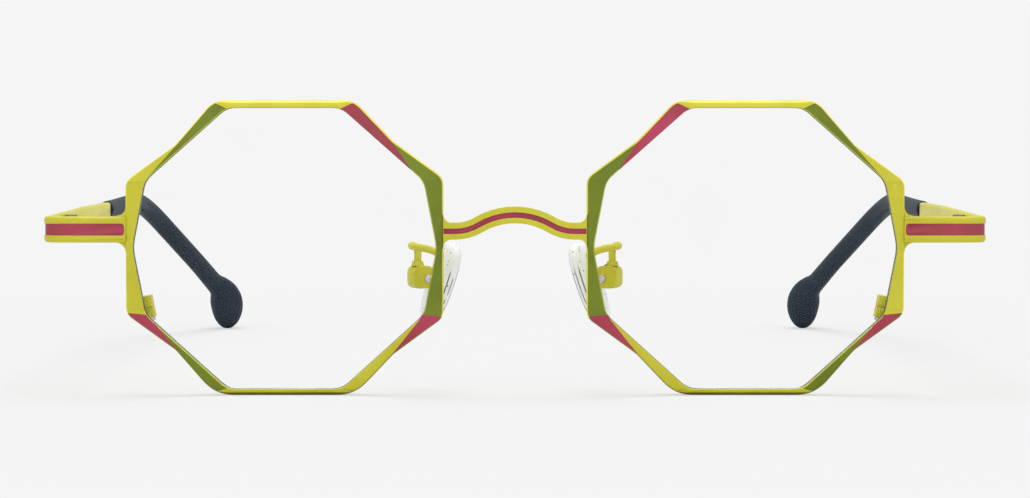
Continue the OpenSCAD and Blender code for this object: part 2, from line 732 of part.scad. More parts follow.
// Hinge: plate on the inner face of the arm or the temple, and knuckles about the screw
module leaf(dir) {
    translate([arm_x - leaf_t, dir > 0 ? hinge_y + leaf_start : hinge_y - leaf_start - leaf_len, hinge_low])
        cube([leaf_t, leaf_len, hinge_h]);
}
// The web between knuckle and leaf starts this far from the axis and reaches this far into the leaf
web_start = 0.1;
web_over = 0.3;
module knuckle(low, dir) {
    difference() {
        union() {
            translate([hinge_x, hinge_y, low]) cylinder(r = knuckle_r, h = knuckle_h);
            translate([arm_x - leaf_t, hinge_y + (dir > 0 ? web_start : -leaf_start - web_over), low])
                cube([leaf_t, leaf_start + web_over - web_start, knuckle_h]);
        }
        translate([hinge_x, hinge_y, low - over])
            cylinder(r = hinge_screw_r + pivot_gap, h = knuckle_h + 2 * over);
    }
}
module front_leaf(left) {
    color("#b9bcc0") side(left) {
        leaf(-1);
        for (k = [0, 2]) knuckle(hinge_low + k * (knuckle_h + knuckle_gap), -1);
    }
}
module temple_leaf(left) {
    color("#b9bcc0") leaned(left) {
        leaf(1);
        knuckle(hinge_low + knuckle_h + knuckle_gap, 1);
    }
}
module hinge_screw(left) {
    color("#c6c9cc") side(left) translate([hinge_x, hinge_y, hinge_low]) {
        cylinder(r = hinge_screw_r, h = hinge_h);
        translate([0, 0, hinge_h]) difference() {
            cylinder(r = hinge_head_r, h = hinge_head_h);
            translate([0, 0, hinge_head_h]) cube([3 * hinge_head_r, 0.3, hinge_head_h], center = true);
        }
    }
}

// Line of the tip: straight from its mouth, one bend down and inwards, straight, and a turn to the table
bend_dir = [-sin(bend_lean), 0, -cos(bend_lean)];
bend_lead = bend_at - bend_r * tan(bend_angle / 2);
bend_start = mouth + [0, bend_lead, 0];
function on_bend(a) = bend_start + bend_r * (sin(a) * [0, 1, 0] + (1 - cos(a)) * bend_dir);
drop_dir = cos(bend_angle) * [0, 1, 0] + sin(bend_angle) * bend_dir;
down = [0, 0, -1];
turn_angle = acos(drop_dir * down);
turn_dir = unit(down - (down * drop_dir) * drop_dir);
turn_fall = turn_r * (sin(turn_angle) * -drop_dir[2] + (1 - cos(turn_angle)) * -turn_dir[2]);
drop_len = (on_bend(bend_angle)[2] - turn_fall - tail_len) / -drop_dir[2];
turn_start = on_bend(bend_angle) + drop_len * drop_dir;
function on_turn(a) = turn_start + turn_r * (sin(a) * drop_dir + (1 - cos(a)) * turn_dir);
bend_len = bend_r * bend_angle * PI / 180;
turn_len = turn_r * turn_angle * PI / 180;
tip_len = bend_lead + bend_len + drop_len + turn_len + tail_len;
// Place and direction at distance s from the mouth
function tip_at(s) =
    s <= bend_lead ? [mouth + [0, s, 0], [0, 1, 0]]
    : s < bend_lead + bend_len ? let (a = (s - bend_lead) / bend_r * 180 / PI)
        [on_bend(a), cos(a) * [0, 1, 0] + sin(a) * bend_dir]
    : s < tip_len - tail_len - turn_len ?
        [on_bend(bend_angle) + (s - bend_lead - bend_len) * drop_dir, drop_dir]
    : s < tip_len - tail_len ? let (a = (s - tip_len + tail_len + turn_len) / turn_r * 180 / PI)
        [on_turn(a), cos(a) * drop_dir + sin(a) * turn_dir]
    : [on_turn(turn_angle) + (s - tip_len + tail_len) * down, down];
// Share of the egg at which it ends in its small flat foot
egg_foot = 0.995;
function smooth(t) = let (k = min(max(t, 0), 1)) k * k * (3 - 2 * k);
function mix(a, b, k) = a + (b - a) * k;
// Half width and half height of the section at distance s
function tip_size(s) =
    let (
        grown = smooth(s / (bend_lead + bend_len)),
        bar = [mix(tip_half_t, drop_half_t, grown), mix(tip_half_h, drop_half_h, grown)],
        u = egg_foot * (s - tip_len + egg_len) / egg_len,
        k = sqrt(max(0, 1 - pow((u - egg_wide) / (1 - egg_wide), 2)))
    )
    u < egg_wide ? mix(bar, [egg_half_w, egg_half_d], smooth(u / egg_wide)) : [egg_half_w, egg_half_d] * k;
function tip_section(s) =
    let (
        at = tip_at(s),
        size = tip_size(s),
        up = at[1][2] < -0.9 ? unit(drop_dir - (drop_dir * at[1]) * at[1])
            : unit([0, 0, 1] - at[1][2] * at[1]),
        across = cross(at[1], up)
    )
    [for (j = [0 : tip_sides - 1]) let (a = 360 * j / tip_sides)
        at[0] + size[0] * cos(a) * across + size[1] * sin(a) * up];
tip_sides = 16;
// The mouth's edge is chamfered
mouth_bevel = 0.3;
mouth_share = 0.86;
tip_steps = concat(
    [0, mouth_bevel],
    [for (i = [1 : 3]) bend_lead * i / 3],
    [for (i = [1 : 7]) bend_lead + bend_len * i / 7],
    [bend_lead + bend_len + (tip_len - egg_len - bend_lead - bend_len) * 0.5],
    [for (i = [0 : 10]) tip_len - egg_len + egg_len * i / 11],
    [tip_len - 0.35, tip_len]
);
function tip_ring(s) = s > 0 ? tip_section(s)
    : [for (p = tip_section(mouth_bevel)) mouth + mouth_share * (p - mouth - [0, mouth_bevel, 0])];
tip_rings = [for (s = tip_steps) tip_ring(s)];
// The temple and its tip lean inwards about the hinge
module leaned(left) {
    side(left) translate([hinge_x, hinge_y, 0]) rotate([0, 0, temple_lean])
        translate([-hinge_x, -hinge_y, 0]) children();
}
function lean_y(p) = hinge_y + (p[0] - hinge_x) * sin(temple_lean) + (p[1] - hinge_y) * cos(temple_lean);
total_depth = max([for (ring = tip_rings, p = ring) lean_y(p)]);

// Wire inside the tip, thicker by the given gap
module core_wire(gap) {
    steps = concat(
        [-over, bend_lead],
        [for (i = [1 : 6]) bend_lead + bend_len * i / 6],
        [core_len + gap]
    );
    tube([for (s = steps) tip_at(s)[0]], core_r + gap, sides = 10, across = [1, 0, 0.01]);
}
module temple(left) {
    taper_y = temple_len * taper_share;
    top = concat(
        [[butt_gap, arm_h / 2]],
        [for (i = [0 : 6]) let (k = i / 6) [mix(straight_len, taper_y, k),
            mix(arm_h / 2, temple_end_h / 2 + temple_rise * taper_rise, smooth(k))]],
        [[temple_len, temple_rise + temple_end_h / 2]]
    );
    low = concat(
        [[butt_gap, -arm_h / 2]],
        [for (i = [0 : 6]) let (k = i / 6) [mix(straight_len, taper_y, k),
            mix(-arm_h / 2, -temple_end_h / 2 + temple_rise * taper_rise, smooth(k))]],
        [[temple_len, temple_rise - temple_end_h / 2]]
    );
    color("#d8d23f") leaned(left) {
        difference() {
            translate([arm_x, hinge_y, arm_z]) rotate([90, 0, 90]) linear_extrude(arm_t)
                polygon(concat(top, reversed(low)));
            translate([outer_x - milled_depth, hinge_y - over, arm_z - milled_h / 2])
                cube([milled_depth + over, temple_groove_len + over - milled_h / 2, milled_h]);
            translate([outer_x - milled_depth, hinge_y + temple_groove_len - milled_h / 2, arm_z])
                rotate([0, 90, 0]) cylinder(r = milled_h / 2, h = milled_depth + over);
        }
        core_wire(0);
    }
}
module tip(left) {
    color("#39434f") leaned(left) difference() {
        skin(tip_rings);
        core_wire(core_gap);
    }
}

module placed() {
    translate([0, -total_depth / 2, 0]) children();
}

placed() bridge();
placed() rim(false);  // right_rim
placed() rim(true);  // left_rim
placed() lens(false);  // right_lens
placed() lens(true);  // left_lens
placed() end_piece(false);  // right_end_piece
placed() end_piece(true);  // left_end_piece
placed() block_half(false, true);  // right_block_upper
placed() block_half(true, true);  // left_block_upper
placed() block_half(false, false);  // right_block_lower
placed() block_half(true, false);  // left_block_lower
placed() rim_screw(false);  // right_rim_screw
placed() rim_screw(true);  // left_rim_screw
placed() pad_arm(false);  // right_pad_arm
placed() pad_arm(true);  // left_pad_arm
placed() pad_box(false);  // right_pad_box
placed() pad_box(true);  // left_pad_box
placed() pad_screw(false);  // right_pad_screw
placed() pad_screw(true);  // left_pad_screw
placed() pad_core(false);  // right_pad_core
placed() pad_core(true);  // left_pad_core
placed() nose_pad(false);  // right_nose_pad
placed() nose_pad(true);  // left_nose_pad
placed() front_leaf(false);  // right_front_leaf
placed() front_leaf(true);  // left_front_leaf
placed() temple_leaf(false);  // right_temple_leaf
placed() temple_leaf(true);  // left_temple_leaf
placed() hinge_screw(false);  // right_hinge_screw
placed() hinge_screw(true);  // left_hinge_screw
placed() temple(false);  // right_temple
placed() temple(true);  // left_temple
placed() tip(false);  // right_tip
placed() tip(true);  // left_tip
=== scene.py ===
import math
from bisect import bisect_right

import bmesh
import bpy
from mathutils import Matrix, Vector


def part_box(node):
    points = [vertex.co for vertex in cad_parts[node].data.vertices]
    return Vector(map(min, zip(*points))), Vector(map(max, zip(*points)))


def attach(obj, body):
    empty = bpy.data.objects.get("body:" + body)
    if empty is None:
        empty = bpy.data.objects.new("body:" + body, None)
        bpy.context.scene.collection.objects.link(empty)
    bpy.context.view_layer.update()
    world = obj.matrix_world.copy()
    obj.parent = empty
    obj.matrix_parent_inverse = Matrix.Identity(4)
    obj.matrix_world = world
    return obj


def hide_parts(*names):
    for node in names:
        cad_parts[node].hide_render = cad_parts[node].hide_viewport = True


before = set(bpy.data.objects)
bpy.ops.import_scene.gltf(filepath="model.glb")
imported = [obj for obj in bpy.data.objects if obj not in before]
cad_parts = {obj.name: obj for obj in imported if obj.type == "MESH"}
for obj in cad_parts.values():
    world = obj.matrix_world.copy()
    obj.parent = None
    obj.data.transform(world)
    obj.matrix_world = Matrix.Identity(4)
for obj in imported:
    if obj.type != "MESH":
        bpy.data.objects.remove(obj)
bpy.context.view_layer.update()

mm = 0.001

# Everything below is written in millimetres, with y = 0 at the foremost rim facet,
# and moved back to the frame's origin when a mesh is made.
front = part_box("left_rim")[0][1]
print("frame loaded, foremost facet at", round(front, 5))


def place(x, y, z):
    return Vector((x * mm, y * mm + front, z * mm))


# Where a point of a mesh lies in those millimetres
def placed(point):
    return Vector((point.x / mm, (point.y - front) / mm, point.z / mm))


# Shader maths: Term wraps one socket, so that 1 - mask * 0.5 adds its own Math nodes
class Term:
    def __init__(self, nodes, socket):
        self.nodes = nodes
        self.socket = socket

    def math(self, operation, first, second):
        return self.nodes.term("Math", {0: first, 1: second}, operation=operation)

    def __add__(self, other):
        return self.math("ADD", self, other)

    def __mul__(self, other):
        return self.math("MULTIPLY", self, other)

    def __radd__(self, other):
        return self.math("ADD", other, self)

    def __rsub__(self, other):
        return self.math("SUBTRACT", other, self)

    def __rmul__(self, other):
        return self.math("MULTIPLY", other, self)


# The nodes of one tree, and the look that names their colours
class Nodes:
    def __init__(self, tree, family="ShaderNode", look=None):
        self.tree = tree
        self.family = family
        self.look = look

    # Every node comes from here: its type, what its sockets take, and its settings, which are set first
    def node(self, kind, values={}, **settings):
        node = self.tree.nodes.new(kind if kind.startswith("NodeGroup") else self.family + kind)
        for key, value in settings.items():
            setattr(node, key, value)
        for key, value in values.items():
            self.feed(node.inputs[key], value)
        return node

    def term(self, kind, values={}, output=0, **settings):
        return Term(self, self.node(kind, values, **settings).outputs[output])

    # A socket takes a Term, another node's socket, a colour by its name in the look, or plain numbers
    def feed(self, socket, value):
        if isinstance(value, Term):
            value = value.socket
        if isinstance(value, bpy.types.NodeSocket):
            self.tree.links.new(value, socket)
        else:
            socket.default_value = linear(*self.look[value]) if isinstance(value, str) else value


# A finish is one material. Its patterns lie in the piece's Object coordinates, in metres
class Finish(Nodes):
    def __init__(self, name, look):
        self.material = bpy.data.materials.new(name)
        self.material.use_nodes = True
        super().__init__(self.material.node_tree, look=look)
        self.shader = self.tree.nodes["Principled BSDF"]
        self.coordinates = self.node("TexCoord").outputs

    def noise(self, key):
        scale, detail, rough, *stretch = self.look[key]
        spot = self.term("Mapping", {"Vector": self.coordinates["Object"], "Scale": stretch or (1, 1, 1)})
        return self.term("TexNoise", {"Vector": spot, "Scale": scale, "Detail": detail, "Roughness": rough})

    # 0 at the start of the named range and 1 at its end, which may be the lower one
    def over(self, value, key):
        low, high = sorted(self.look[key])
        share = self.term(
            "MapRange", {"Value": value, "From Min": low, "From Max": high}, clamp=True,
            interpolation_type="SMOOTHSTEP")
        return share if low == self.look[key][0] else 1 - share

    def patches(self, key):
        return self.over(self.noise(key), key + "Over")

    def spots(self, key):
        values = {"Vector": self.coordinates["Object"], "Scale": self.look[key]}
        return self.over(self.term("TexVoronoi", values, "Distance", feature="F1"), key + "Over")

    def blend(self, factor, first, second):
        return self.term("Mix", {0: factor, 6: first, 7: second}, 2, data_type="RGBA")

    def set(self, values):
        for name, value in values.items():
            self.feed(self.shader.inputs[name], value)

    def bump(self, height):
        distance, strength = self.look["bump"]
        values = {"Height": height, "Distance": distance, "Strength": strength}
        self.set({"Normal": self.term("Bump", values)})

    # The two coordinates of the piece's own UV map
    def own(self):
        parts = self.node("SeparateXYZ", {0: self.coordinates["UV"]}).outputs
        return Term(self, parts[0]), Term(self, parts[1])

    def ray(self, kind):
        return self.term("LightPath", output=kind)

    def mixWith(self, factor, other):
        mixer = self.term("MixShader", {0: factor, 1: self.shader.outputs[0], 2: other})
        self.feed(self.tree.nodes["Material Output"].inputs["Surface"], mixer)

    # A clear piece lets shadow rays pass with a slight tint
    def lightThrough(self):
        self.mixWith(self.ray("Is Shadow Ray"), self.term("BsdfTransparent", {"Color": "shadow"}))


# A colour as the eye sees it, 0 to 255, made linear
def linear(red, green, blue, alpha=1.0):
    def channel(value):
        part = value / 255
        return part / 12.92 if part <= 0.04045 else ((part + 0.055) / 1.055) ** 2.4
    return (channel(red), channel(green), channel(blue), alpha)


# A noise is given as scale, detail and roughness, with a stretch where it needs one,
# and a range as where a pattern begins to show and where it shows fully
lacquerLook = {
    "yellow": (203, 197, 52), "yellowDeep": (192, 186, 42),
    # a brighter yellow: painted highlight on the rims' outer edges, and also the colour of rubbed patches on
    # the yellow lacquer
    "yellowEdge": (238, 224, 58), "yellowEdgeDeep": (203, 197, 52),
    # a paler yellow: painted sheen on the temples' inner faces
    "inside": (219, 213, 96), "insideDeep": (211, 205, 84),
    "green": (116, 131, 26), "greenDeep": (100, 114, 20),
    # olive: painted shade on the outer edges of the rims' lower sectors
    "olive": (138, 130, 22), "oliveDeep": (122, 115, 17),
    "raspberry": (180, 63, 89), "raspberryDeep": (165, 52, 72), "raspberryPooled": (142, 64, 66),
    "plastic": (226, 230, 233), "plasticDeep": (214, 220, 224),
    "mottle": (160.0, 3.0, 0.5), "mottleOver": (0.35, 0.7), "pool": (75.0, 2.0, 0.4),
    "poolOver": (0.42, 0.68), "rub": (420.0, 3.0, 0.7), "rubOver": (0.6, 0.75), "grain": (900.0, 2.0, 0.6),
    "streak": (700.0, 2.0, 0.5, 0.25, 1.0, 1.0),
    "mottled": 0.75, "pooled": 0.7, "rubbed": 0.3, "dull": 0.37, "edgeDull": 0.29, "plasticDull": 0.3,
    "streakDulls": 0.08, "mottleDulls": 0.04, "specular": 0.28, "coat": 0.05, "coatDull": 0.15,
    "streakRise": 0.5, "bump": (0.00002, 0.22),
}


def lacquer(name, colour, dull="dull", edge=None, pooled=None):
    look = lacquerLook
    finish = Finish(name, look)
    mottle = finish.patches("mottle")
    streak = finish.noise("streak")
    base = finish.blend(mottle * look["mottled"], colour, colour + "Deep")
    if pooled:
        base = finish.blend(finish.patches("pool") * look["pooled"], base, pooled)
    if edge:
        base = finish.blend(finish.patches("rub") * look["rubbed"], base, edge)
    finish.set({
        "Base Color": base, "Metallic": 0.0,
        "Roughness": look[dull] + streak * look["streakDulls"] + mottle * look["mottleDulls"],
        "Coat Weight": look["coat"], "Coat Roughness": look["coatDull"],
        "Specular IOR Level": look["specular"]})
    finish.bump(finish.noise("grain") + streak * look["streakRise"])
    return finish.material


steelLook = {
    "screw": (196, 198, 200), "screwDeep": (156.8, 158.4, 160), "screwDull": 0.18,
    "hinge": (146, 142, 104), "hingeDeep": (116.8, 113.6, 83.2), "hingeDull": 0.34,
    "brushed": (2600.0, 3.0, 0.6, 1.0, 0.12, 1.0), "tarnish": (500.0, 3.0, 0.5), "tarnishOver": (0.45, 0.75),
    "tarnished": 0.5, "brushDulls": 0.12, "bump": (0.00001, 0.25),
}


def steel(kind):
    look = steelLook
    finish = Finish(kind + "Steel", look)
    brushed = finish.noise("brushed")
    tarnish = finish.patches("tarnish") * look["tarnished"]
    finish.set({
        "Base Color": finish.blend(tarnish, kind, kind + "Deep"), "Metallic": 1.0,
        "Roughness": look[kind + "Dull"] + brushed * look["brushDulls"]})
    finish.bump(brushed)
    return finish.material


# The lenses are coated against reflections, so their glass bends and mirrors little light
lensLook = {
    "clear": (255, 255, 255), "smeared": (253, 254, 254), "shadow": (250, 252, 252),
    "smear": (60.0, 4.0, 0.6), "smearOver": (0.5, 0.8), "smearDulls": 0.01, "bending": 1.12,
    "edgeLight": (128, 150, 150), "edgeDark": (72, 98, 92), "ground": (3000.0, 2.0, 0.6),
    "bump": (0.00001, 0.3), "edgeDull": 0.3, "groundDulls": 0.15, "edgeClearness": 0.25, "edgeBending": 1.5,
}


def lensGlass():
    look = lensLook
    finish = Finish("clearLens", look)
    smear = finish.patches("smear")
    finish.set({
        "Base Color": finish.blend(smear, "clear", "smeared"),
        "Roughness": smear * look["smearDulls"], "Transmission Weight": 1.0, "IOR": look["bending"]})
    finish.lightThrough()
    return finish.material


def lensEdge():
    look = lensLook
    finish = Finish("lensEdge", look)
    ground = finish.noise("ground")
    finish.set({
        "Base Color": finish.blend(ground, "edgeLight", "edgeDark"),
        "Roughness": look["edgeDull"] + ground * look["groundDulls"],
        "Transmission Weight": look["edgeClearness"], "IOR": look["edgeBending"]})
    finish.bump(ground)
    return finish.material


# The pad's own coordinates: u runs round its outline, v from its rear face to its front one.
# Its dark bands are painted refraction shade: lines that run round, between two places of the outline
padLook = {
    "white": (249, 252, 255), "cloudy": (244, 248, 252), "shade": (24, 32, 48), "bubble": (70, 84, 78),
    "shadow": (238, 241, 243), "cloud": (220.0, 3.0, 0.6), "dull": 0.22, "cloudDulls": 0.08,
    "bump": (0.00004, 0.12), "clearness": 0.08, "bending": 1.4, "specular": 0.4,
    "bubbles": 1250.0, "bubblesOver": (0.2, 0.12), "cluster": (420.0, 2.0, 0.5), "clusterOver": (0.42, 0.47),
    "streaks": 4.0, "streakFrom": (0.42, 0.47), "streakTo": (0.82, 0.74), "streakLine": (0.17, 0.07),
    "sway": (90.0, 2.0, 0.5), "swayed": 0.5, "gap": (500.0, 2.0, 0.5, 1.0, 1.0, 0.4), "gapOver": (0.36, 0.44),
    "wholeOver": (0.45, 0.6), "bubbled": 0.85, "streaked": 0.85,
}


def silicone():
    look = padLook
    finish = Finish("clearSilicone", look)
    cloud = finish.noise("cloud")
    u, v = finish.own()
    bubbles = finish.spots("bubbles") * finish.patches("cluster")
    sway = finish.noise("sway") * look["swayed"]
    wave = finish.term("Math", {0: v * look["streaks"] + sway, 1: 0.5}, operation="PINGPONG")
    lines = finish.over(wave, "streakLine")
    part = finish.over(u, "streakFrom") * finish.over(u, "streakTo")
    unbroken = finish.patches("gap")
    whole = finish.over(v, "wholeOver")
    # the painted refraction shade, broken in places but whole near the front face
    streaks = lines * part * (unbroken + (1 - unbroken) * whole)
    base = finish.blend(cloud, "white", "cloudy")
    base = finish.blend(streaks * look["streaked"], base, "shade")
    finish.set({
        "Base Color": finish.blend(bubbles * look["bubbled"], base, "bubble"),
        "Roughness": look["dull"] + cloud * look["cloudDulls"], "Transmission Weight": look["clearness"],
        "IOR": look["bending"], "Specular IOR Level": look["specular"]})
    finish.bump(cloud)
    finish.lightThrough()
    return finish.material


tipLook = {
    "colour": (39, 50, 62), "deep": (31, 42, 53), "warm": (44, 52, 65),
    "cloud": (90.0, 4.0, 0.6), "cloudOver": (0.35, 0.7), "drift": (420.0, 3.0, 0.55, 1.0, 0.2, 1.0),
    "haze": (1500.0, 2.0, 0.5), "hazeOver": (0.55, 0.75), "clouded": 0.7, "hazed": 0.35, "hazeRise": 0.4,
    "dull": 0.46, "driftDulls": 0.1, "specular": 0.07, "coat": 0.06, "coatDull": 0.2, "bump": (0.00003, 0.15),
}


def acetate():
    look = tipLook
    finish = Finish("navyAcetate", look)
    cloud = finish.patches("cloud")
    drift = finish.noise("drift")
    haze = finish.patches("haze")
    body = finish.blend(cloud * look["clouded"], "colour", "deep")
    finish.set({
        "Base Color": finish.blend(haze * drift * look["hazed"], body, "warm"),
        "Roughness": look["dull"] + drift * look["driftDulls"], "Specular IOR Level": look["specular"],
        "Coat Weight": look["coat"], "Coat Roughness": look["coatDull"]})
    finish.bump(drift + haze * look["hazeRise"])
    return finish.material


yellow = lacquer("lacquerYellow", "yellow", edge="yellowEdge")
# brighter yellow for the rims' outer edges, a painted highlight
yellowEdge = lacquer("lacquerHighlightYellow", "yellowEdge", "edgeDull")
# paler yellow for the temples' inner faces, a painted sheen
paintedSheenYellow = lacquer("lacquerPaintedSheenYellow", "inside")
# olive for the outer edges low down, painted shade
olive = lacquer("lacquerPaintedShadeOlive", "olive")
green = lacquer("lacquerGreen", "green")
raspberry = lacquer("lacquerRaspberry", "raspberry", pooled="raspberryPooled")
palePlastic = lacquer("palePlastic", "plastic", "plasticDull")
screwSteel = steel("screw")
hingeSteel = steel("hinge")
glass = lensGlass()
glassEdge = lensEdge()
padSilicone = silicone()
navy = acetate()
print("finishes made")


# Mesh helpers
def shown(name, data):
    piece = bpy.data.objects.new(name, data)
    bpy.context.scene.collection.objects.link(piece)
    return piece


def coat(mesh, materials):
    for material in materials:
        mesh.materials.append(material)
    mesh.polygons.foreach_set("use_smooth", [True] * len(mesh.polygons))


# A closed piece, written for the left half and mirrored where its name says right. Points closer
# than the gap are merged, and every face is turned outwards
def newPiece(name, vertices, faces, materials, faceMaterials=None, gap=0.0):
    side = -1 if name.startswith("right") else 1
    mesh = bpy.data.meshes.new(name)
    mesh.from_pydata([place(side * x, y, z) for x, y, z in vertices], [], faces)
    coat(mesh, materials)
    if faceMaterials:
        mesh.polygons.foreach_set("material_index", faceMaterials)
    closed = bmesh.new()
    closed.from_mesh(mesh)
    if gap:
        bmesh.ops.remove_doubles(closed, verts=closed.verts, dist=gap)
    bmesh.ops.recalc_face_normals(closed, faces=closed.faces)
    closed.to_mesh(mesh)
    closed.free()
    return shown(name, mesh)


# Quads between rings of the same count, and a cap on both ends
def tubeFaces(rings, count):
    faces = []
    for k in range(rings - 1):
        for i in range(count):
            a, b = k * count + i, k * count + (i + 1) % count
            faces.append((a, b, b + count, a + count))
    last = (rings - 1) * count
    return faces + [tuple(range(count - 1, -1, -1)), tuple(range(last, last + count))]


# Each edge with the faces beside it and the angle between them in degrees
def bends(mesh):
    sides = {}
    for polygon in mesh.polygons:
        for key in polygon.edge_keys:
            sides.setdefault(key, []).append(polygon)
    for edge in mesh.edges:
        pair = sides.get(edge.key, [])
        bend = pair[0].normal.angle(pair[1].normal, 0) if len(pair) == 2 else 0
        yield edge, pair, math.degrees(bend)


def smoothStep(t):
    t = min(max(t, 0.0), 1.0)
    return t * t * (3 - 2 * t)


# A corner (x, z, radius) between its neighbours, as points on its arc
arcStep = math.radians(4)


def outlineArc(a, b, c):
    corner = Vector(b[:2])
    toA, toC = (Vector(a[:2]) - corner).normalized(), (Vector(c[:2]) - corner).normalized()
    opening = toA.angle(toC)
    centre = corner + (toA + toC).normalized() * b[2] / math.sin(opening / 2)
    start = corner + toA * b[2] / math.tan(opening / 2) - centre
    turn = math.copysign(math.pi - opening, toA.y * toC.x - toA.x * toC.y)
    count = max(2, math.ceil(abs(turn) / arcStep))
    return [centre + Matrix.Rotation(turn * i / count, 2) @ start for i in range(count + 1)]


# A closed line with rounded corners, measured along its length
class Outline:
    probe = 0.12  # half the stretch over which a direction is taken

    def __init__(self, corners):
        self.points = []
        for before, corner, after in zip([corners[-1]] + corners, corners, corners[1:] + [corners[0]]):
            self.points += outlineArc(before, corner, after)
        self.starts = [0.0]
        for k, point in enumerate(self.points):
            self.starts.append(self.starts[-1] + (self.after(k) - point).length)
        self.length = self.starts[-1]

    def after(self, k):
        return self.points[(k + 1) % len(self.points)]

    def at(self, distance):
        distance %= self.length
        k = min(bisect_right(self.starts, distance), len(self.points)) - 1
        span = self.starts[k + 1] - self.starts[k]
        return self.points[k].lerp(self.after(k), (distance - self.starts[k]) / span if span else 0)

    def outward(self, distance):
        step = self.at(distance + self.probe) - self.at(distance - self.probe)
        return Vector((step.y, -step.x)).normalized()

    def nearest(self, target):
        best = (math.inf, 0)
        for k, point in enumerate(self.points):
            side = self.after(k) - point
            if side.length_squared:
                t = min(max((target - point).dot(side) / side.length_squared, 0), 1)
                best = min(best, ((point + side * t - target).length, self.starts[k] + side.length * t))
        return best[1]


# The rims: one cross-section per station, between the outer outline and the opening
rimSize = {
    "middleX": 33.9, "middleZ": 21.7, "halfWidth": 23.35, "halfHeight": 21.7, "depth": 2.4,
    "flatTop": 20.5, "flatTemple": 19.6, "flatNose": 20.6,
    "waistX": 16.0, "waistTemple": 15.05, "waistNose": 15.65,
    "roundTop": 3.5, "roundBottom": 6.0, "roundSide": 2.0, "roundWaist": 3.0,
    "openingTop": 20.6, "openingBottom": 20.8, "openingSide": 22.4, "openingFlat": 16.8,
    "openingCornerX": 20.5, "openingCornerZ": 9.85, "openingRound": 3.2,
    "fallTop": 0.55, "fallSide": 0.85, "fallInner": 0.1, "creaseNear": 0.9, "creaseFar": 2.6,
    "grooveY": 1.5, "grooveWidth": 1.1, "grooveDepth": 0.45,
    "edgeOuter": 0.16, "edges": {2: 0.4, 8: 0.45}, "edgeBack": 0.15, "edgeInner": 0.09,
    "edgeFade": 0.12, "bulge": 0.3, "station": 0.4, "fewest": 3, "cut": 0.008, "cutDrop": 8.9,
    "cutAside": 0.2, "cutFall": 0.4, "templeJoint": (24.4, 2.9), "noseJoint": (24.15, 2.2), "jointDepth": 0.8,
    "jointFade": 0.6, "jointSharp": 0.85,
}


def rimOutline():
    s = rimSize
    w, h, top = s["halfWidth"], s["halfHeight"], s["flatTop"] / 2
    temple, nose = s["flatTemple"] / 2, s["flatNose"] / 2
    waist, atNose, atTemple = s["waistX"], s["waistNose"], s["waistTemple"]
    upper, lower, side, bend = s["roundTop"], s["roundBottom"], s["roundSide"], s["roundWaist"]
    return Outline([
        (top, h, upper), (-top, h, upper), (-waist, atNose, bend), (-w, nose, side), (-w, -nose, side),
        (-waist, -atNose, bend), (-top, -h, lower), (top, -h, lower), (waist, -atTemple, bend),
        (w, -temple, side), (w, temple, side), (waist, atTemple, bend)])


def openingOutline():
    s = rimSize
    flat, x, z, r = s["openingFlat"] / 2, s["openingCornerX"], s["openingCornerZ"], s["openingRound"]
    return Outline([
        (flat, s["openingTop"], r), (-flat, s["openingTop"], r), (-x, z, r), (-s["openingSide"], 0, 2 * r),
        (-x, -z, r), (-flat, -s["openingBottom"], r), (flat, -s["openingBottom"], r), (x, -z, r),
        (s["openingSide"], 0, 2 * r), (x, z, r)])


# The height at (x, z) of the plane through three points
def planeAt(a, b, c, x, z):
    normal = (b - a).cross(c - a)
    return a.z - ((x - a.x) * normal.x + (z - a.y) * normal.y) / normal.z


# The creases between facets, each from the opening to the outer outline, as (x, z, fall)
def sideLine(sx, sz):
    s = rimSize
    flat = s["flatTemple"] if sx > 0 else s["flatNose"]
    return (Vector((sx * s["openingCornerX"], sz * s["openingCornerZ"], s["fallInner"])),
            Vector((sx * s["halfWidth"], sz * flat / 2, s["fallSide"])))


def topLine(sx, sz):
    s = rimSize
    height = s["openingTop"] if sz > 0 else s["openingBottom"]
    return (Vector((sx * s["openingFlat"] / 2, sz * height, 0)),
            Vector((sx * s["flatTop"] / 2, sz * s["halfHeight"], s["fallTop"])))


def waistLine(sx, sz):
    s = rimSize
    side, top = sideLine(sx, sz), topLine(sx, sz)
    corner = side[0].to_2d()
    along = (top[0].to_2d() - corner).normalized()
    inner = corner + along * (s["creaseNear"] if sx == sz else s["creaseFar"])
    x, z = sx * s["waistX"], sz * (s["waistTemple"] if sx > 0 else s["waistNose"])

    def gap(depth):
        outer = Vector((x, z, depth))
        return planeAt(*side, outer, *inner) - planeAt(*top, outer, *inner)
    fall = gap(0) / (gap(0) - gap(1))
    outer = Vector((x, z, fall))
    return Vector((inner.x, inner.y, planeAt(*top, outer, *inner))), outer


rising, falling = (sideLine, waistLine, topLine), (topLine, waistLine, sideLine)
facetLines = []
for makers, sx, sz in ((rising, 1, 1), (falling, -1, 1), (rising, -1, -1), (falling, 1, -1)):
    facetLines += [makeLine(sx, sz) for makeLine in makers]
# The finish of the facet that starts at each line
facetPaint = [
    "yellow", "green", "yellow", "raspberry", "green", "green",
    "raspberry", "yellow", "yellow", "green", "raspberry", "yellow"]
rimFinishes = {"yellow": yellow, "edge": yellowEdge, "green": green, "raspberry": raspberry, "olive": olive}
# Strips are counted round the section, and angles that stay crisp are in degrees
rimPaint = {
    "facetStrip": 11, "innerStrips": (9, 10), "outerStrips": (12, 13), "shaded": (6, 7, 8, 9, 10),
    "facing": 0.8, "crease": 1.2, "corner": 50, "mergeGap": 0.000002, "weight": 60,
}


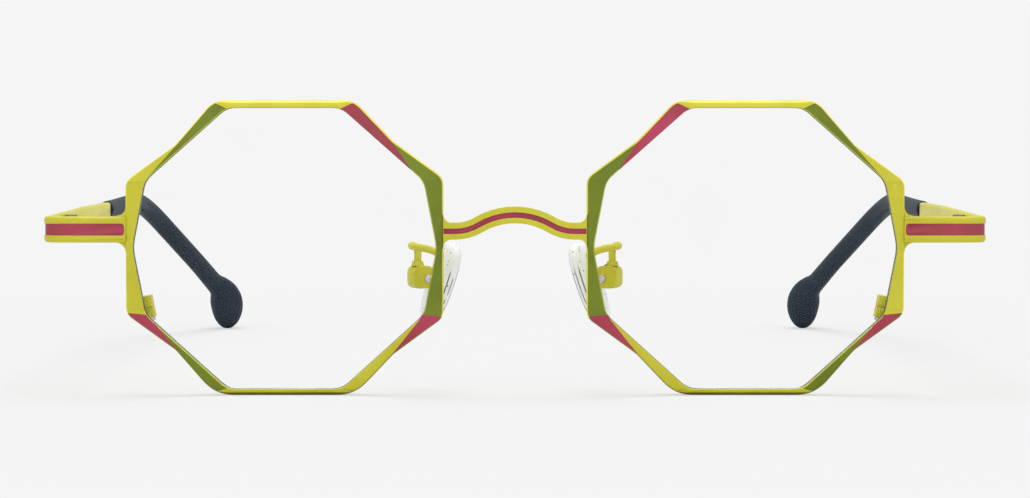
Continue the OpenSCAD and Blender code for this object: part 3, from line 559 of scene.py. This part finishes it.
def rimStations():
    s, count = rimSize, len(facetLines)
    outer, inner = rimOutline(), openingOutline()

    def marksOf(line):
        return outer.nearest(line[1].to_2d()), inner.nearest(line[0].to_2d())
    marks = [marksOf(line) for line in facetLines]
    cut = marksOf((Vector((s["openingCornerX"] + s["cutAside"], -s["cutDrop"])),
                   Vector((s["halfWidth"], -s["cutDrop"] - s["cutFall"]))))
    stations = []
    # the last facet has the cut, so its two parts come first and last
    sectors = [count - 1] + list(range(count))
    for sector, start, end in zip(sectors, [cut] + marks, marks + [[mark - s["cut"] for mark in cut]]):
        a, b = facetLines[sector], facetLines[(sector + 1) % count]
        spans = [(to - at) % outline.length for outline, at, to in zip((outer, inner), start, end)]
        steps = max(s["fewest"], math.ceil(max(spans) / s["station"]))
        for i in range(steps + 1):
            outerAt, innerAt = (at + span * i / steps for at, span in zip(start, spans))
            stations.append((sector, (a[0], a[1], b[1]), outerAt, innerAt, i / steps))
    return outer, inner, stations


# How far a point of the outer outline belongs to the joint with the end piece or the bridge
def brazed(point):
    s = rimSize
    level, reach = s["templeJoint"] if point.x > 0 else s["noseJoint"]
    if abs(point.x) < s["halfWidth"] - s["jointDepth"]:
        return 0.0
    return 1 - smoothStep((abs(point.y + s["middleZ"] - level) - reach) / s["jointFade"])


# The top and bottom bars have a broader rounded outer edge, which fades out at their ends
def outerEdge(sector, share):
    s = rimSize
    full = s["edges"].get(sector, s["edgeOuter"])
    return s["edgeOuter"] + (full - s["edgeOuter"]) * smoothStep(min(share, 1 - share) / s["edgeFade"])


# One closed cross-section, with its edges rounded and the lens groove in its inner wall
def rimSection(outer, inner, station):
    s = rimSize
    sector, plane, outerAt, innerAt, share = station
    back, eb, ei, bulge = s["depth"], s["edgeBack"], s["edgeInner"], s["bulge"]
    p, n = outer.at(outerAt), outer.outward(outerAt)
    eo = outerEdge(sector, share) * (1 - s["jointSharp"] * brazed(p))
    q, m = inner.at(innerAt), inner.outward(innerAt)

    def depth(point):
        return planeAt(*plane, point.x, point.y)

    def spot(point, normal, inset, y):
        moved = point + normal * inset
        return (moved.x, y, moved.y)
    half = s["grooveWidth"] / 2
    outerFront, innerFront = depth(p), max(depth(q), 0)
    return [
        spot(p, n, 0, back - eb), spot(p, n, -bulge * eb, back - bulge * eb), spot(p, n, -eb, back),
        spot(q, m, ei, back), spot(q, m, bulge * ei, back - bulge * ei), spot(q, m, 0, back - ei),
        spot(q, m, 0, s["grooveY"] + half), spot(q, m, s["grooveDepth"], s["grooveY"]),
        spot(q, m, 0, s["grooveY"] - half), spot(q, m, 0, innerFront + ei),
        spot(q, m, bulge * ei, innerFront + bulge * ei),
        spot(q, m, ei, max(depth(q + m * ei), 0)), spot(p, n, -eo, depth(p - n * eo)),
        spot(p, n, -bulge * eo, outerFront + bulge * eo), spot(p, n, 0, outerFront + eo)]


# Finish of one strip: the facet, its inner edge, its outer edge, or a wall. The outer edge is a brighter
# yellow as a painted highlight, and olive as painted shade on the lower sectors
def stripFinish(sector, strip):
    paint, look = facetPaint[sector], rimPaint
    if strip == look["facetStrip"] or (strip in look["innerStrips"] and paint == "raspberry"):
        return paint
    if strip in look["outerStrips"]:
        return "olive" if sector in look["shaded"] else "edge"
    return "yellow"


# Creases between facets stay crisp, and so does any sharp corner
def crispFacets(mesh):
    look, facets = rimPaint, [list(rimFinishes).index(paint) for paint in set(facetPaint)]

    def onFacet(polygon):
        return polygon.material_index in facets and polygon.area > 0 and polygon.normal.y < -look["facing"]
    flags = [
        bend > look["corner"] or bend > look["crease"] and all(onFacet(polygon) for polygon in pair)
        for edge, pair, bend in bends(mesh)]
    mesh.attributes.new("sharp_edge", "BOOLEAN", "EDGE").data.foreach_set("value", flags)


def makeRim(name):
    outer, inner, stations = rimStations()
    rows = [(station[0], rimSection(outer, inner, station)) for station in stations]
    size = len(rows[0][1])
    middle = Vector((rimSize["middleX"], 0, rimSize["middleZ"]))
    vertices = [Vector(point) + middle for sector, section in rows for point in section]
    # Two facets meet in rows of their own, with nothing between them
    strips = [(k, j) for k in range(len(rows) - 1) if rows[k][0] == rows[k + 1][0] for j in range(size)]
    tube = tubeFaces(len(rows), size)
    faces = [tube[k * size + j] for k, j in strips] + tube[-2:]
    finishes = [list(rimFinishes).index(stripFinish(rows[k][0], j)) for k, j in strips] + [0, 0]
    piece = newPiece(name, vertices, faces, rimFinishes.values(), finishes, rimPaint["mergeGap"])
    crispFacets(piece.data)
    modifier = piece.modifiers.new("flatFacets", "WEIGHTED_NORMAL")
    modifier.keep_sharp = True
    modifier.weight = rimPaint["weight"]
    return piece


for nodeSide in ("left", "right"):
    rimPiece = makeRim(nodeSide + "Rim")
    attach(rimPiece, "front")
    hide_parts(nodeSide + "_rim")
print("rims made")

# The lenses: meniscus with a V edge
lensSize = {
    "radius": 350.0, "thickness": 1.3, "gap": 0.05, "land": 0.02, "rings": 16, "samples": 220, "crisp": 25}


def makeLens(name):
    s, r = rimSize, lensSize
    inner = openingOutline()
    count, half, back = r["samples"], s["grooveWidth"] / 2, r["radius"] - r["thickness"]
    frontY = s["grooveY"] - r["thickness"] / 2 - s["openingSide"] ** 2 / 2 / r["radius"]
    marks = [inner.length * i / count for i in range(count)]
    rim = [inner.at(m) - inner.outward(m) * r["gap"] for m in marks]
    tongue = [inner.at(m) + inner.outward(m) * (s["grooveDepth"] - r["gap"]) for m in marks]

    def sheet(point, radius=r["radius"]):
        return frontY + r["radius"] - math.sqrt(radius ** 2 - point.length_squared)

    def backSheet(point):
        return sheet(point, back)
    # rings of points with their depths, from the front's middle over the edge to the back's middle
    shares = [math.sin(math.pi / 2 * (i + 1) / r["rings"]) for i in range(r["rings"])]
    rings = [([p * k for p in rim], sheet) for k in shares]
    rings += [
        (rim, lambda p: max(s["grooveY"] - half, sheet(p) + r["land"])), (tongue, lambda p: s["grooveY"]),
        (rim, lambda p: min(s["grooveY"] + half, backSheet(p) - r["land"]))]
    rings += [([p * k for p in rim], backSheet) for k in reversed(shares)]
    vertices = [(p.x + s["middleX"], depth(p), p.y + s["middleZ"]) for points, depth in rings for p in points]
    faces = tubeFaces(len(rings), count)[:-2]  # its caps give way to fans round the middle points
    edge = range(r["rings"] - 1, len(rings) - r["rings"])
    finishes = [int(k in edge) for k in range(len(rings) - 1) for i in range(count)] + [0] * count * 2
    for y, first in ((frontY, 0), (frontY + r["thickness"], (len(rings) - 1) * count)):
        faces += [(len(vertices), first + i, first + (i + 1) % count) for i in range(count)]
        vertices.append((s["middleX"], y, s["middleZ"]))
    piece = newPiece(name, vertices, faces, [glass, glassEdge], finishes)
    piece.data.set_sharp_from_angle(angle=math.radians(r["crisp"]))
    return piece


for nodeSide in ("left", "right"):
    lensPiece = makeLens(nodeSide + "Lens")
    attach(lensPiece, "front")
    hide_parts(nodeSide + "_lens")
print("lenses made")


# Machined pieces: a merged copy of the CAD solid with its edges rounded
machining = {
    "mergeGap": 0.000001, "flatTo": 0.6, "sharpFrom": 28, "segments": 3,
    # width of the rounding
    "bridge": 0.22, "end_piece": 0.45, "temple": 0.3, "block_upper": 0.1, "block_lower": 0.1, "pad_box": 0.35,
    "rim_screw": 0.05, "pad_screw": 0.04, "hinge_screw": 0.05, "front_leaf": 0.06, "temple_leaf": 0.06,
    "pad_core": 0.04,
}


# Share of the full rounding that each sharp edge gets
def softEdges(mesh, softness):
    weights = []
    for edge, pair, bend in bends(mesh):
        ends = [mesh.vertices[i].co for i in edge.vertices]
        weights.append(softness(placed((ends[0] + ends[1]) / 2)) if bend > machining["sharpFrom"] else 0.0)
    mesh.attributes.new("bevel_weight_edge", "FLOAT", "EDGE").data.foreach_set("value", weights)


def machined(node, kind, materials, paint=None, softness=None, clamped=True):
    merged = bmesh.new()
    merged.from_mesh(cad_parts[node].data)
    bmesh.ops.remove_doubles(merged, verts=merged.verts, dist=machining["mergeGap"])
    bmesh.ops.dissolve_limit(
        merged, angle_limit=math.radians(machining["flatTo"]), verts=merged.verts, edges=merged.edges)
    first, *words = node.split("_")
    name = first + "".join(word.capitalize() for word in words) + "Piece"
    mesh = bpy.data.meshes.new(name)
    merged.to_mesh(mesh)
    merged.free()
    coat(mesh, materials)
    if paint:
        for polygon in mesh.polygons:
            polygon.material_index = paint(placed(polygon.center), polygon.normal)
    if softness:
        softEdges(mesh, softness)
    piece = shown(name, mesh)
    bevel = piece.modifiers.new("roundedEdges", "BEVEL")
    bevel.width = machining[kind] * mm
    bevel.segments = machining["segments"]
    bevel.limit_method = "WEIGHT" if softness else "ANGLE"
    bevel.angle_limit = math.radians(machining["sharpFrom"])
    bevel.use_clamp_overlap = clamped
    bevel.harden_normals = True
    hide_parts(node)
    return piece


# The bridge: a ribbon whose middle line is an arc over the crown and one up to each foot
bridgeLook = {
    "top": 26.55, "foot": 24.15, "length": 8.7, "turn": 5.4, "lineFrom": 0.66, "lineTo": 1.05,
    "lineEnd": 10.4, "lineHalf": 0.6, "crispTo": 1.1, "crisp": 0.25, "facing": 0.9, "sideways": 0.1,
}


def bridgeMiddle(x):
    c = bridgeLook
    angle = 2 * math.atan((c["top"] - c["foot"]) / c["length"])
    crown, foot = c["turn"] / math.sin(angle), (c["length"] - c["turn"]) / math.sin(angle)
    if x < c["turn"]:
        return c["top"] - crown + math.sqrt(crown ** 2 - x ** 2)
    return c["foot"] + foot - math.sqrt(foot ** 2 - min(x - c["length"], 0) ** 2)


# The milled line is raspberry down to its floor
def bridgePaint(where, normal):
    c = bridgeLook
    atLine = c["lineFrom"] < where.y < c["lineTo"] and abs(where.x) < c["lineEnd"]
    return int(atLine and (normal.y < -c["facing"] or abs(normal.y) < c["sideways"]))


# The line keeps crisper edges than the ribbon
def bridgeSoftness(where):
    c = bridgeLook
    atLine = where.y < c["crispTo"] and abs(where.z - bridgeMiddle(abs(where.x))) < c["lineHalf"]
    return c["crisp"] if atLine else 1.0


bridgePiece = machined("bridge", "bridge", [yellow, raspberry], bridgePaint, bridgeSoftness)
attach(bridgePiece, "front")

# The bars' milled line, and the hinge about which a temple leans outwards
barLook = {
    "low": 23.5, "high": 25.3, "faintest": 0.02, "deepest": 0.25, "foremost": 0.6, "outermost": 69.5,
    "cornerRadius": 2.3, "templeEnd": 41.4, "crisp": 0.15, "crispOver": 0.1, "brazedTo": 59.0, "facing": 0.9,
}
hinge = {"x": 66.8, "y": 11.2, "lean": 0.75}


def aboutHinge(point, degrees):
    pin = Vector((hinge["x"], hinge["y"], 0))
    return pin + Matrix.Rotation(math.radians(degrees), 3, "Z") @ (point - pin)


def inLine(depth, z):
    g = barLook
    return int(g["faintest"] < depth < g["deepest"] and g["low"] < z < g["high"])


# Depth below the outer face of the end piece, round its corner
def endPaint(where, normal):
    g = barLook
    x, y = abs(where.x), where.y
    cornerX, cornerY = g["outermost"] - g["cornerRadius"], g["foremost"] + g["cornerRadius"]
    if x < cornerX:
        return inLine(y - g["foremost"], where.z)
    if y < cornerY:
        return inLine(g["cornerRadius"] - math.hypot(x - cornerX, y - cornerY), where.z)
    return inLine(g["outermost"] - x, where.z)


# The temple's inner face is a paler yellow, a painted sheen
def templePaint(where, normal):
    if normal.x * math.copysign(1, where.x) < -barLook["facing"]:
        return 2
    upright = aboutHinge(Vector((abs(where.x), where.y, where.z)), -hinge["lean"])
    return inLine(barLook["outermost"] - upright.x, where.z) if where.y < barLook["templeEnd"] else 0


# The line keeps crisp edges, the bar is rounded above and below, and what is brazed to the rim stays sharp
def barSoftness(where):
    g = barLook
    if abs(where.x) < g["brazedTo"]:
        return 0.0
    return g["crisp"] if g["low"] - g["crispOver"] < where.z < g["high"] + g["crispOver"] else 1.0


for nodeSide in ("left", "right"):
    for kind, materials, paint, body, slot in (
            ("end_piece", [yellow, raspberry], endPaint, "front", "frame_lacquer"),
            ("block_upper", [yellow], None, "front", "frame_lacquer"),
            ("block_lower", [yellow], None, "front", "frame_lacquer"),
            ("rim_screw", [screwSteel], None, "front", "screw_steel"),
            ("pad_box", [yellow], None, "front", "frame_lacquer"),
            ("pad_screw", [screwSteel], None, "front", "screw_steel"),
            ("hinge_screw", [hingeSteel], None, "front", "screw_steel"),
            ("front_leaf", [yellow], None, "front", "frame_lacquer"),
            ("temple_leaf", [yellow], None, nodeSide + "_temple", "frame_lacquer"),
            ("temple", [yellow, raspberry, paintedSheenYellow], templePaint, nodeSide + "_temple", "frame_lacquer"),
            ("pad_core", [palePlastic], None, nodeSide + "_pad", "pale_plastic")):
        # the painted bars' edges are rounded further than their small faces would allow
        piece = machined(
            nodeSide + "_" + kind, kind, materials, paint, barSoftness if paint else None, clamped=not paint)
        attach(piece, body)
print("machined pieces made")

# The pad arms: wires that follow a path, made by one Geometry Nodes tree
armSize = {
    "foot": (11.025, 2.4, 20.4), "stem": (14.5423, 7.914, 18.7), "radius": 0.55, "sides": 20, "steps": 8,
    "turns": ((0, -1.5, 0), (0, 0.4, 0), (0.6, 1.6, 0.5), (2.1, 2.9, 0.95), (3.6, 4, 1.15), (4.4, 5.4, 1.25),
              (4.3, 6.7, 1.3), (3.7, 7.1, 0.95)),
    "overStem": ((0, 0.7, 1.9), (0, 0, 0.9), (0, 0, 0)), "intoBox": (0, 0, -0.4),
}


def wireTree():
    tree = bpy.data.node_groups.new("wireAlongPath", "GeometryNodeTree")
    sockets = {}
    for name, way, kind in (
            ("Geometry", "INPUT", "Geometry"), ("Wire Radius", "INPUT", "Float"), ("Sides", "INPUT", "Int"),
            ("Material", "INPUT", "Material"), ("Geometry", "OUTPUT", "Geometry")):
        socket = tree.interface.new_socket(name, in_out=way, socket_type="NodeSocket" + kind)
        sockets[name] = socket.identifier
    nodes = Nodes(tree, "GeometryNode")
    given = nodes.node("NodeGroupInput").outputs
    path = nodes.term("MeshToCurve", {"Mesh": given["Geometry"]})
    profile = nodes.term(
        "CurvePrimitiveCircle", {"Resolution": given["Sides"], "Radius": given["Wire Radius"]})
    swept = nodes.term("CurveToMesh", {"Curve": path, "Profile Curve": profile, "Fill Caps": True})
    real = nodes.term("RealizeInstances", {0: nodes.term("SetShadeSmooth", {0: swept})})
    nodes.node("NodeGroupOutput", {0: nodes.term("SetMaterial", {0: real, "Material": given["Material"]})})
    return tree, sockets


wireNodes, wireSockets = wireTree()


def wire(name, path, material):
    mesh = bpy.data.meshes.new(name + "Path")
    mesh.from_pydata([place(*p) for p in path], [(i, i + 1) for i in range(len(path) - 1)], [])
    guide = shown(name + "Guide", mesh)
    modifier = guide.modifiers.new("wire", "NODES")
    modifier.node_group = wireNodes
    modifier[wireSockets["Wire Radius"]] = armSize["radius"] * mm
    modifier[wireSockets["Sides"]] = armSize["sides"]
    modifier[wireSockets["Material"]] = material
    made = bpy.data.meshes.new_from_object(guide.evaluated_get(bpy.context.evaluated_depsgraph_get()))
    bpy.data.objects.remove(guide)
    return shown(name, made)


# A smooth line through all points but the first and the last
def spline(points, steps):
    path = []
    for k in range(1, len(points) - 2):
        a, b, c, d = points[k - 1:k + 3]
        for i in range(steps):
            t = i / steps
            path.append(0.5 * (2 * b + (c - a) * t + (2 * a - 5 * b + 4 * c - d) * t * t
                               + (3 * b - a - 3 * c + d) * t ** 3))
    return path + [points[-2]]


def armPath():
    foot, stem = Vector(armSize["foot"]), Vector(armSize["stem"])
    points = [foot + Vector(turn) for turn in armSize["turns"]]
    points += [stem + Vector(turn) for turn in armSize["overStem"]]
    return [foot] + spline(points, armSize["steps"]) + [stem + Vector(armSize["intoBox"])]


for nodeSide in ("left", "right"):
    path = [(p.x if nodeSide == "left" else -p.x, p.y, p.z) for p in armPath()]
    armPiece = wire(nodeSide + "PadArm", path, yellow)
    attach(armPiece, "front")
    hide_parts(nodeSide + "_pad_arm")
print("pad arms made")

# The nose pads: soft ovals, crowned on both faces
padSize = {
    "pivot": (13.5, 8.4, 16.8), "splay": 25.0, "tilt": 20.0, "reach": 1.7, "length": 13.0, "width": 7.6,
    "thickness": 2.4, "samples": 56, "squareAcross": 0.8, "squareUp": 0.85, "broaderAbove": 0.08,
    # share of the thickness from the rear, and how far the ring there lies inside the outline
    "layers": ((0.0, 2.4), (0.0, 1.3), (0.03, 0.8), (0.1, 0.42), (0.2, 0.16), (0.33, 0.02), (0.45, 0.0),
               (0.58, 0.1), (0.7, 0.36), (0.8, 0.75), (0.88, 1.25), (0.94, 1.8), (0.98, 2.5), (1.0, 3.1)),
}


def padRing(inset):
    s = padSize
    points = []
    for i in range(s["samples"]):
        a = 2 * math.pi * i / s["samples"]
        c, n = math.cos(a), math.sin(a)
        across = math.copysign(abs(c) ** s["squareAcross"], c) * (s["width"] / 2 - inset)
        up = math.copysign(abs(n) ** s["squareUp"], n) * (s["length"] / 2 - inset)
        points.append((across * (1 + s["broaderAbove"] * n), up))
    return points


def makePad(name):
    s, count = padSize, padSize["samples"]
    splay, tilt = math.radians(-s["splay"]), math.radians(-s["tilt"])
    turn = Matrix.Rotation(splay, 3, "Z") @ Matrix.Rotation(tilt, 3, "Y")
    vertices = []
    for share, inset in s["layers"]:
        depth = -s["reach"] - s["thickness"] * share
        vertices += [turn @ Vector((depth, across, up)) + Vector(s["pivot"]) for across, up in padRing(inset)]
    piece = newPiece(name, vertices, tubeFaces(len(s["layers"]), count), [padSilicone])
    own = piece.data.uv_layers.new(name="own").data
    for polygon in piece.data.polygons:
        steps = [vertex % count for vertex in polygon.vertices]
        wraps = len(steps) == 4 and max(steps) - min(steps) > 1
        for loop, vertex, step in zip(polygon.loop_indices, polygon.vertices, steps):
            across = (count if wraps and step == 0 else step) / count
            own[loop].uv = (across, s["layers"][vertex // count][0])
    return piece


for nodeSide in ("left", "right"):
    padPiece = makePad(nodeSide + "NosePad")
    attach(padPiece, nodeSide + "_pad")
    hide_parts(nodeSide + "_nose_pad")
print("nose pads made")

# The tips: sleeve, bend, and a turn down into an egg
tipSize = {
    "mouth": (68.8, 60.2, 25.2), "bendAt": 43.0, "angle": 37.0, "bendRadius": 25.0, "lean": 32.5,
    "mouthHalf": (1.2, 1.45), "dropHalf": (1.45, 1.85), "turnRadius": 6.0, "tail": 3.2,
    "eggLength": 11.0, "eggWide": 0.54, "eggHalf": (3.15, 3.0), "eggFoot": 0.995,
    "eggShift": 0.42, "shiftedBy": 0.35, "swell": 0.26, "swellFrom": 20.0, "swellTo": 8.0,
    "nearlyDown": math.acos(0.9), "fullness": 0.985,
    "sides": 32, "rings": 90, "crowding": 1.25, "firstRing": 0.3, "lastRings": (0.12, 0.04, 0.0),
    # place and size of the rings that round the sleeve's mouth
    "mouthRings": ((0.7, 0.45), (0.02, 0.5), (0.0, 0.78), (0.03, 0.88), (0.12, 0.96)),
}
down = Vector((0, 0, -1))


# Stretches of a line: place and direction at a distance from the start
def straightOn(start, way):
    return lambda s: (start + way * s, way)


def arcOn(start, way, aside, radius):
    def spot(s):
        a = s / radius
        return (start + way * radius * math.sin(a) + aside * radius * (1 - math.cos(a)),
                way * math.cos(a) + aside * math.sin(a))
    return spot


# The tip's middle line: straight, a bend, straight again, a turn to straight down, and the egg's tail
class TipLine:
    def __init__(self):
        s = tipSize
        lean, angle = math.radians(s["lean"]), math.radians(s["angle"])
        along, bendWay = Vector((0, 1, 0)), Vector((-math.sin(lean), 0, -math.cos(lean)))
        self.lead = s["bendAt"] - s["bendRadius"] * math.tan(angle / 2)
        self.bendLength = s["bendRadius"] * angle
        lead = straightOn(Vector(s["mouth"]), along)
        bend = arcOn(lead(self.lead)[0], along, bendWay, s["bendRadius"])
        bendEnd, self.drop = bend(self.bendLength)
        turnAngle = self.drop.angle(down)
        turnWay = (down - self.drop * down.dot(self.drop)).normalized()
        fall = -s["turnRadius"] * (math.sin(turnAngle) * self.drop.z + (1 - math.cos(turnAngle)) * turnWay.z)
        straight = (bendEnd.z - fall - s["tail"]) / -self.drop.z
        sleeve = straightOn(bendEnd, self.drop)
        turn = arcOn(sleeve(straight)[0], self.drop, turnWay, s["turnRadius"])
        turnLength = s["turnRadius"] * turnAngle
        self.parts = [(self.lead, lead), (self.bendLength, bend), (straight, sleeve), (turnLength, turn),
                      (s["tail"], straightOn(turn(turnLength)[0], down))]
        self.length = sum(length for length, spot in self.parts)

    def at(self, s):
        for length, spot in self.parts[:-1]:
            if s <= length:
                return spot(s)
            s -= length
        return self.parts[-1][1](s)

    # 0 where the egg begins and 1 at its end
    def intoEgg(self, s):
        return (s - self.length + tipSize["eggLength"]) / tipSize["eggLength"]

    # Half the width and half the height of the section
    def half(self, s):
        t = tipSize
        grown = smoothStep(s / (self.lead + self.bendLength))
        bar = [a + (b - a) * grown for a, b in zip(t["mouthHalf"], t["dropHalf"])]
        bar[0] += self.swollen(s)
        u = t["eggFoot"] * self.intoEgg(s)
        if u < t["eggWide"]:
            k = smoothStep(u / t["eggWide"])
            return [a + (b - a) * k for a, b in zip(bar, t["eggHalf"])]
        k = math.sqrt(max(0, 1 - ((u - t["eggWide"]) / (1 - t["eggWide"])) ** 2))
        return [b * k for b in t["eggHalf"]]

    # How far the sleeve has swollen, on its outer side only
    def swollen(self, s):
        t = tipSize
        start, end = self.length - t["swellFrom"], self.length - t["swellTo"]
        return t["swell"] * smoothStep((s - start) / (end - start))

    # The egg sits a little inwards of its neck
    def shift(self, s):
        inside = smoothStep(self.intoEgg(s) / tipSize["shiftedBy"])
        return Vector((self.swollen(s) * (1 - inside) - tipSize["eggShift"] * inside, 0, 0))

    def ring(self, s, shrink=1.0):
        centre, way = self.at(s)
        centre = centre + self.shift(s)
        up = self.drop if way.angle(down) < tipSize["nearlyDown"] else -down
        up = (up - way * up.dot(way)).normalized()
        across = way.cross(up)
        a, b = (h * shrink for h in self.half(s))
        turns = [2 * math.pi * j / tipSize["sides"] for j in range(tipSize["sides"])]
        return [centre + across * a * math.cos(w) + up * b * math.sin(w) for w in turns]


def makeTip(name):
    s, line = tipSize, TipLine()
    body = line.length - s["firstRing"]
    spots = [s["firstRing"] + body * (1 - (1 - i / s["rings"]) ** s["crowding"]) for i in range(s["rings"])]
    spots += [line.length - short for short in s["lastRings"]]
    marks = list(s["mouthRings"]) + [(spot, s["fullness"]) for spot in sorted(spots)]
    vertices = [aboutHinge(p, hinge["lean"]) for spot, shrink in marks for p in line.ring(spot, shrink)]
    return newPiece(name, vertices, tubeFaces(len(marks), s["sides"]), [navy])


for nodeSide in ("left", "right"):
    tipPiece = makeTip(nodeSide + "Tip")
    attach(tipPiece, nodeSide + "_temple")
    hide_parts(nodeSide + "_tip")
print("tips made")

# Stage: pale floor, soft light, and the photograph's camera
stageLook = {
    "pale": (245, 245, 245), "floorHalf": 6.0, "floorDrop": 0.00001, "floorTone": 0.75, "floorDull": 0.9,
    "shadowShare": 0.44, "fade": (0.1, 0.22), "dome": 0.76, "aim": (0, 0, 0.02),
    # place, width and power of each lamp
    "keyLight": ((-0.35, -0.75, 0.5), 0.9, 1.1), "fillLight": ((0.45, -0.7, 0.4), 0.9, 1.0),
    "topLight": ((0.0, 0.1, 0.8), 0.5, 3.4),
    "cameraBack": 440.0, "cameraUp": 43.1, "cameraDown": 2.8, "focal": 104.9, "sensor": 36,
    "sees": (0.01, 50),
}


# Seen directly or through glass, the floor is the plain tone with a share of its own shading nearby
def stageFloor():
    half, low = stageLook["floorHalf"], -stageLook["floorDrop"]
    mesh = bpy.data.meshes.new("stageFloor")
    corners = [(-half, -half, low), (half, -half, low), (half, half, low), (-half, half, low)]
    mesh.from_pydata(corners, [], [(0, 1, 2, 3)])
    finish = Finish("stagePale", stageLook)
    finish.set({
        "Base Color": [part * stageLook["floorTone"] for part in linear(*stageLook["pale"])[:3]] + [1.0],
        "Roughness": stageLook["floorDull"], "Specular IOR Level": 0.0})
    glow = finish.term("Emission", {"Color": "pale", "Strength": 1.0})
    reach = finish.term("VectorMath", {0: finish.coordinates["Object"]}, "Value", operation="LENGTH")
    far = finish.over(reach, "fade")
    seen = finish.ray("Is Camera Ray") + finish.ray("Is Transmission Ray")
    finish.mixWith(seen * (1 - stageLook["shadowShare"] * (1 - far)), glow)
    mesh.materials.append(finish.material)
    floor = shown("stageFloor", mesh)


# The world lights evenly, and is seen as the plain tone
def stageWorld():
    world = bpy.data.worlds.new("stageWorld")
    bpy.context.scene.world = world
    world.use_nodes = True
    nodes = Nodes(world.node_tree, look=stageLook)
    light, end = (world.node_tree.nodes[name] for name in ("Background", "World Output"))
    nodes.feed(light.inputs["Color"], (1, 1, 1, 1))
    nodes.feed(light.inputs["Strength"], stageLook["dome"])
    ray = nodes.node("LightPath").outputs
    seen = nodes.term("Math", {0: ray["Is Camera Ray"], 1: ray["Is Transmission Ray"]}, operation="MAXIMUM")
    plain = nodes.term("Background", {"Color": "pale"})
    nodes.feed(end.inputs["Surface"], nodes.term("MixShader", {0: seen, 1: light.outputs[0], 2: plain}))


def lamp(name):
    spot, size, power = stageLook[name]
    light = bpy.data.lights.new(name, "AREA")
    light.shape = "DISK"
    light.size = size
    light.energy = power
    holder = shown(name, light)
    holder.location = spot
    holder.rotation_euler = (Vector(stageLook["aim"]) - Vector(spot)).to_track_quat("-Z", "Y").to_euler()


stageFloor()
stageWorld()
for name in ("keyLight", "fillLight", "topLight"):
    lamp(name)

camera = shown("camera", bpy.data.cameras.new("camera"))
camera.data.sensor_width = stageLook["sensor"]
camera.data.lens = stageLook["focal"]
camera.data.clip_start, camera.data.clip_end = stageLook["sees"]
camera.location = place(0, -stageLook["cameraBack"], stageLook["cameraUp"])
camera.rotation_euler = (math.radians(90 - stageLook["cameraDown"]), 0, 0)
bpy.context.scene.camera = camera
bpy.context.scene.view_settings.view_transform = "Standard"
print("stage set")
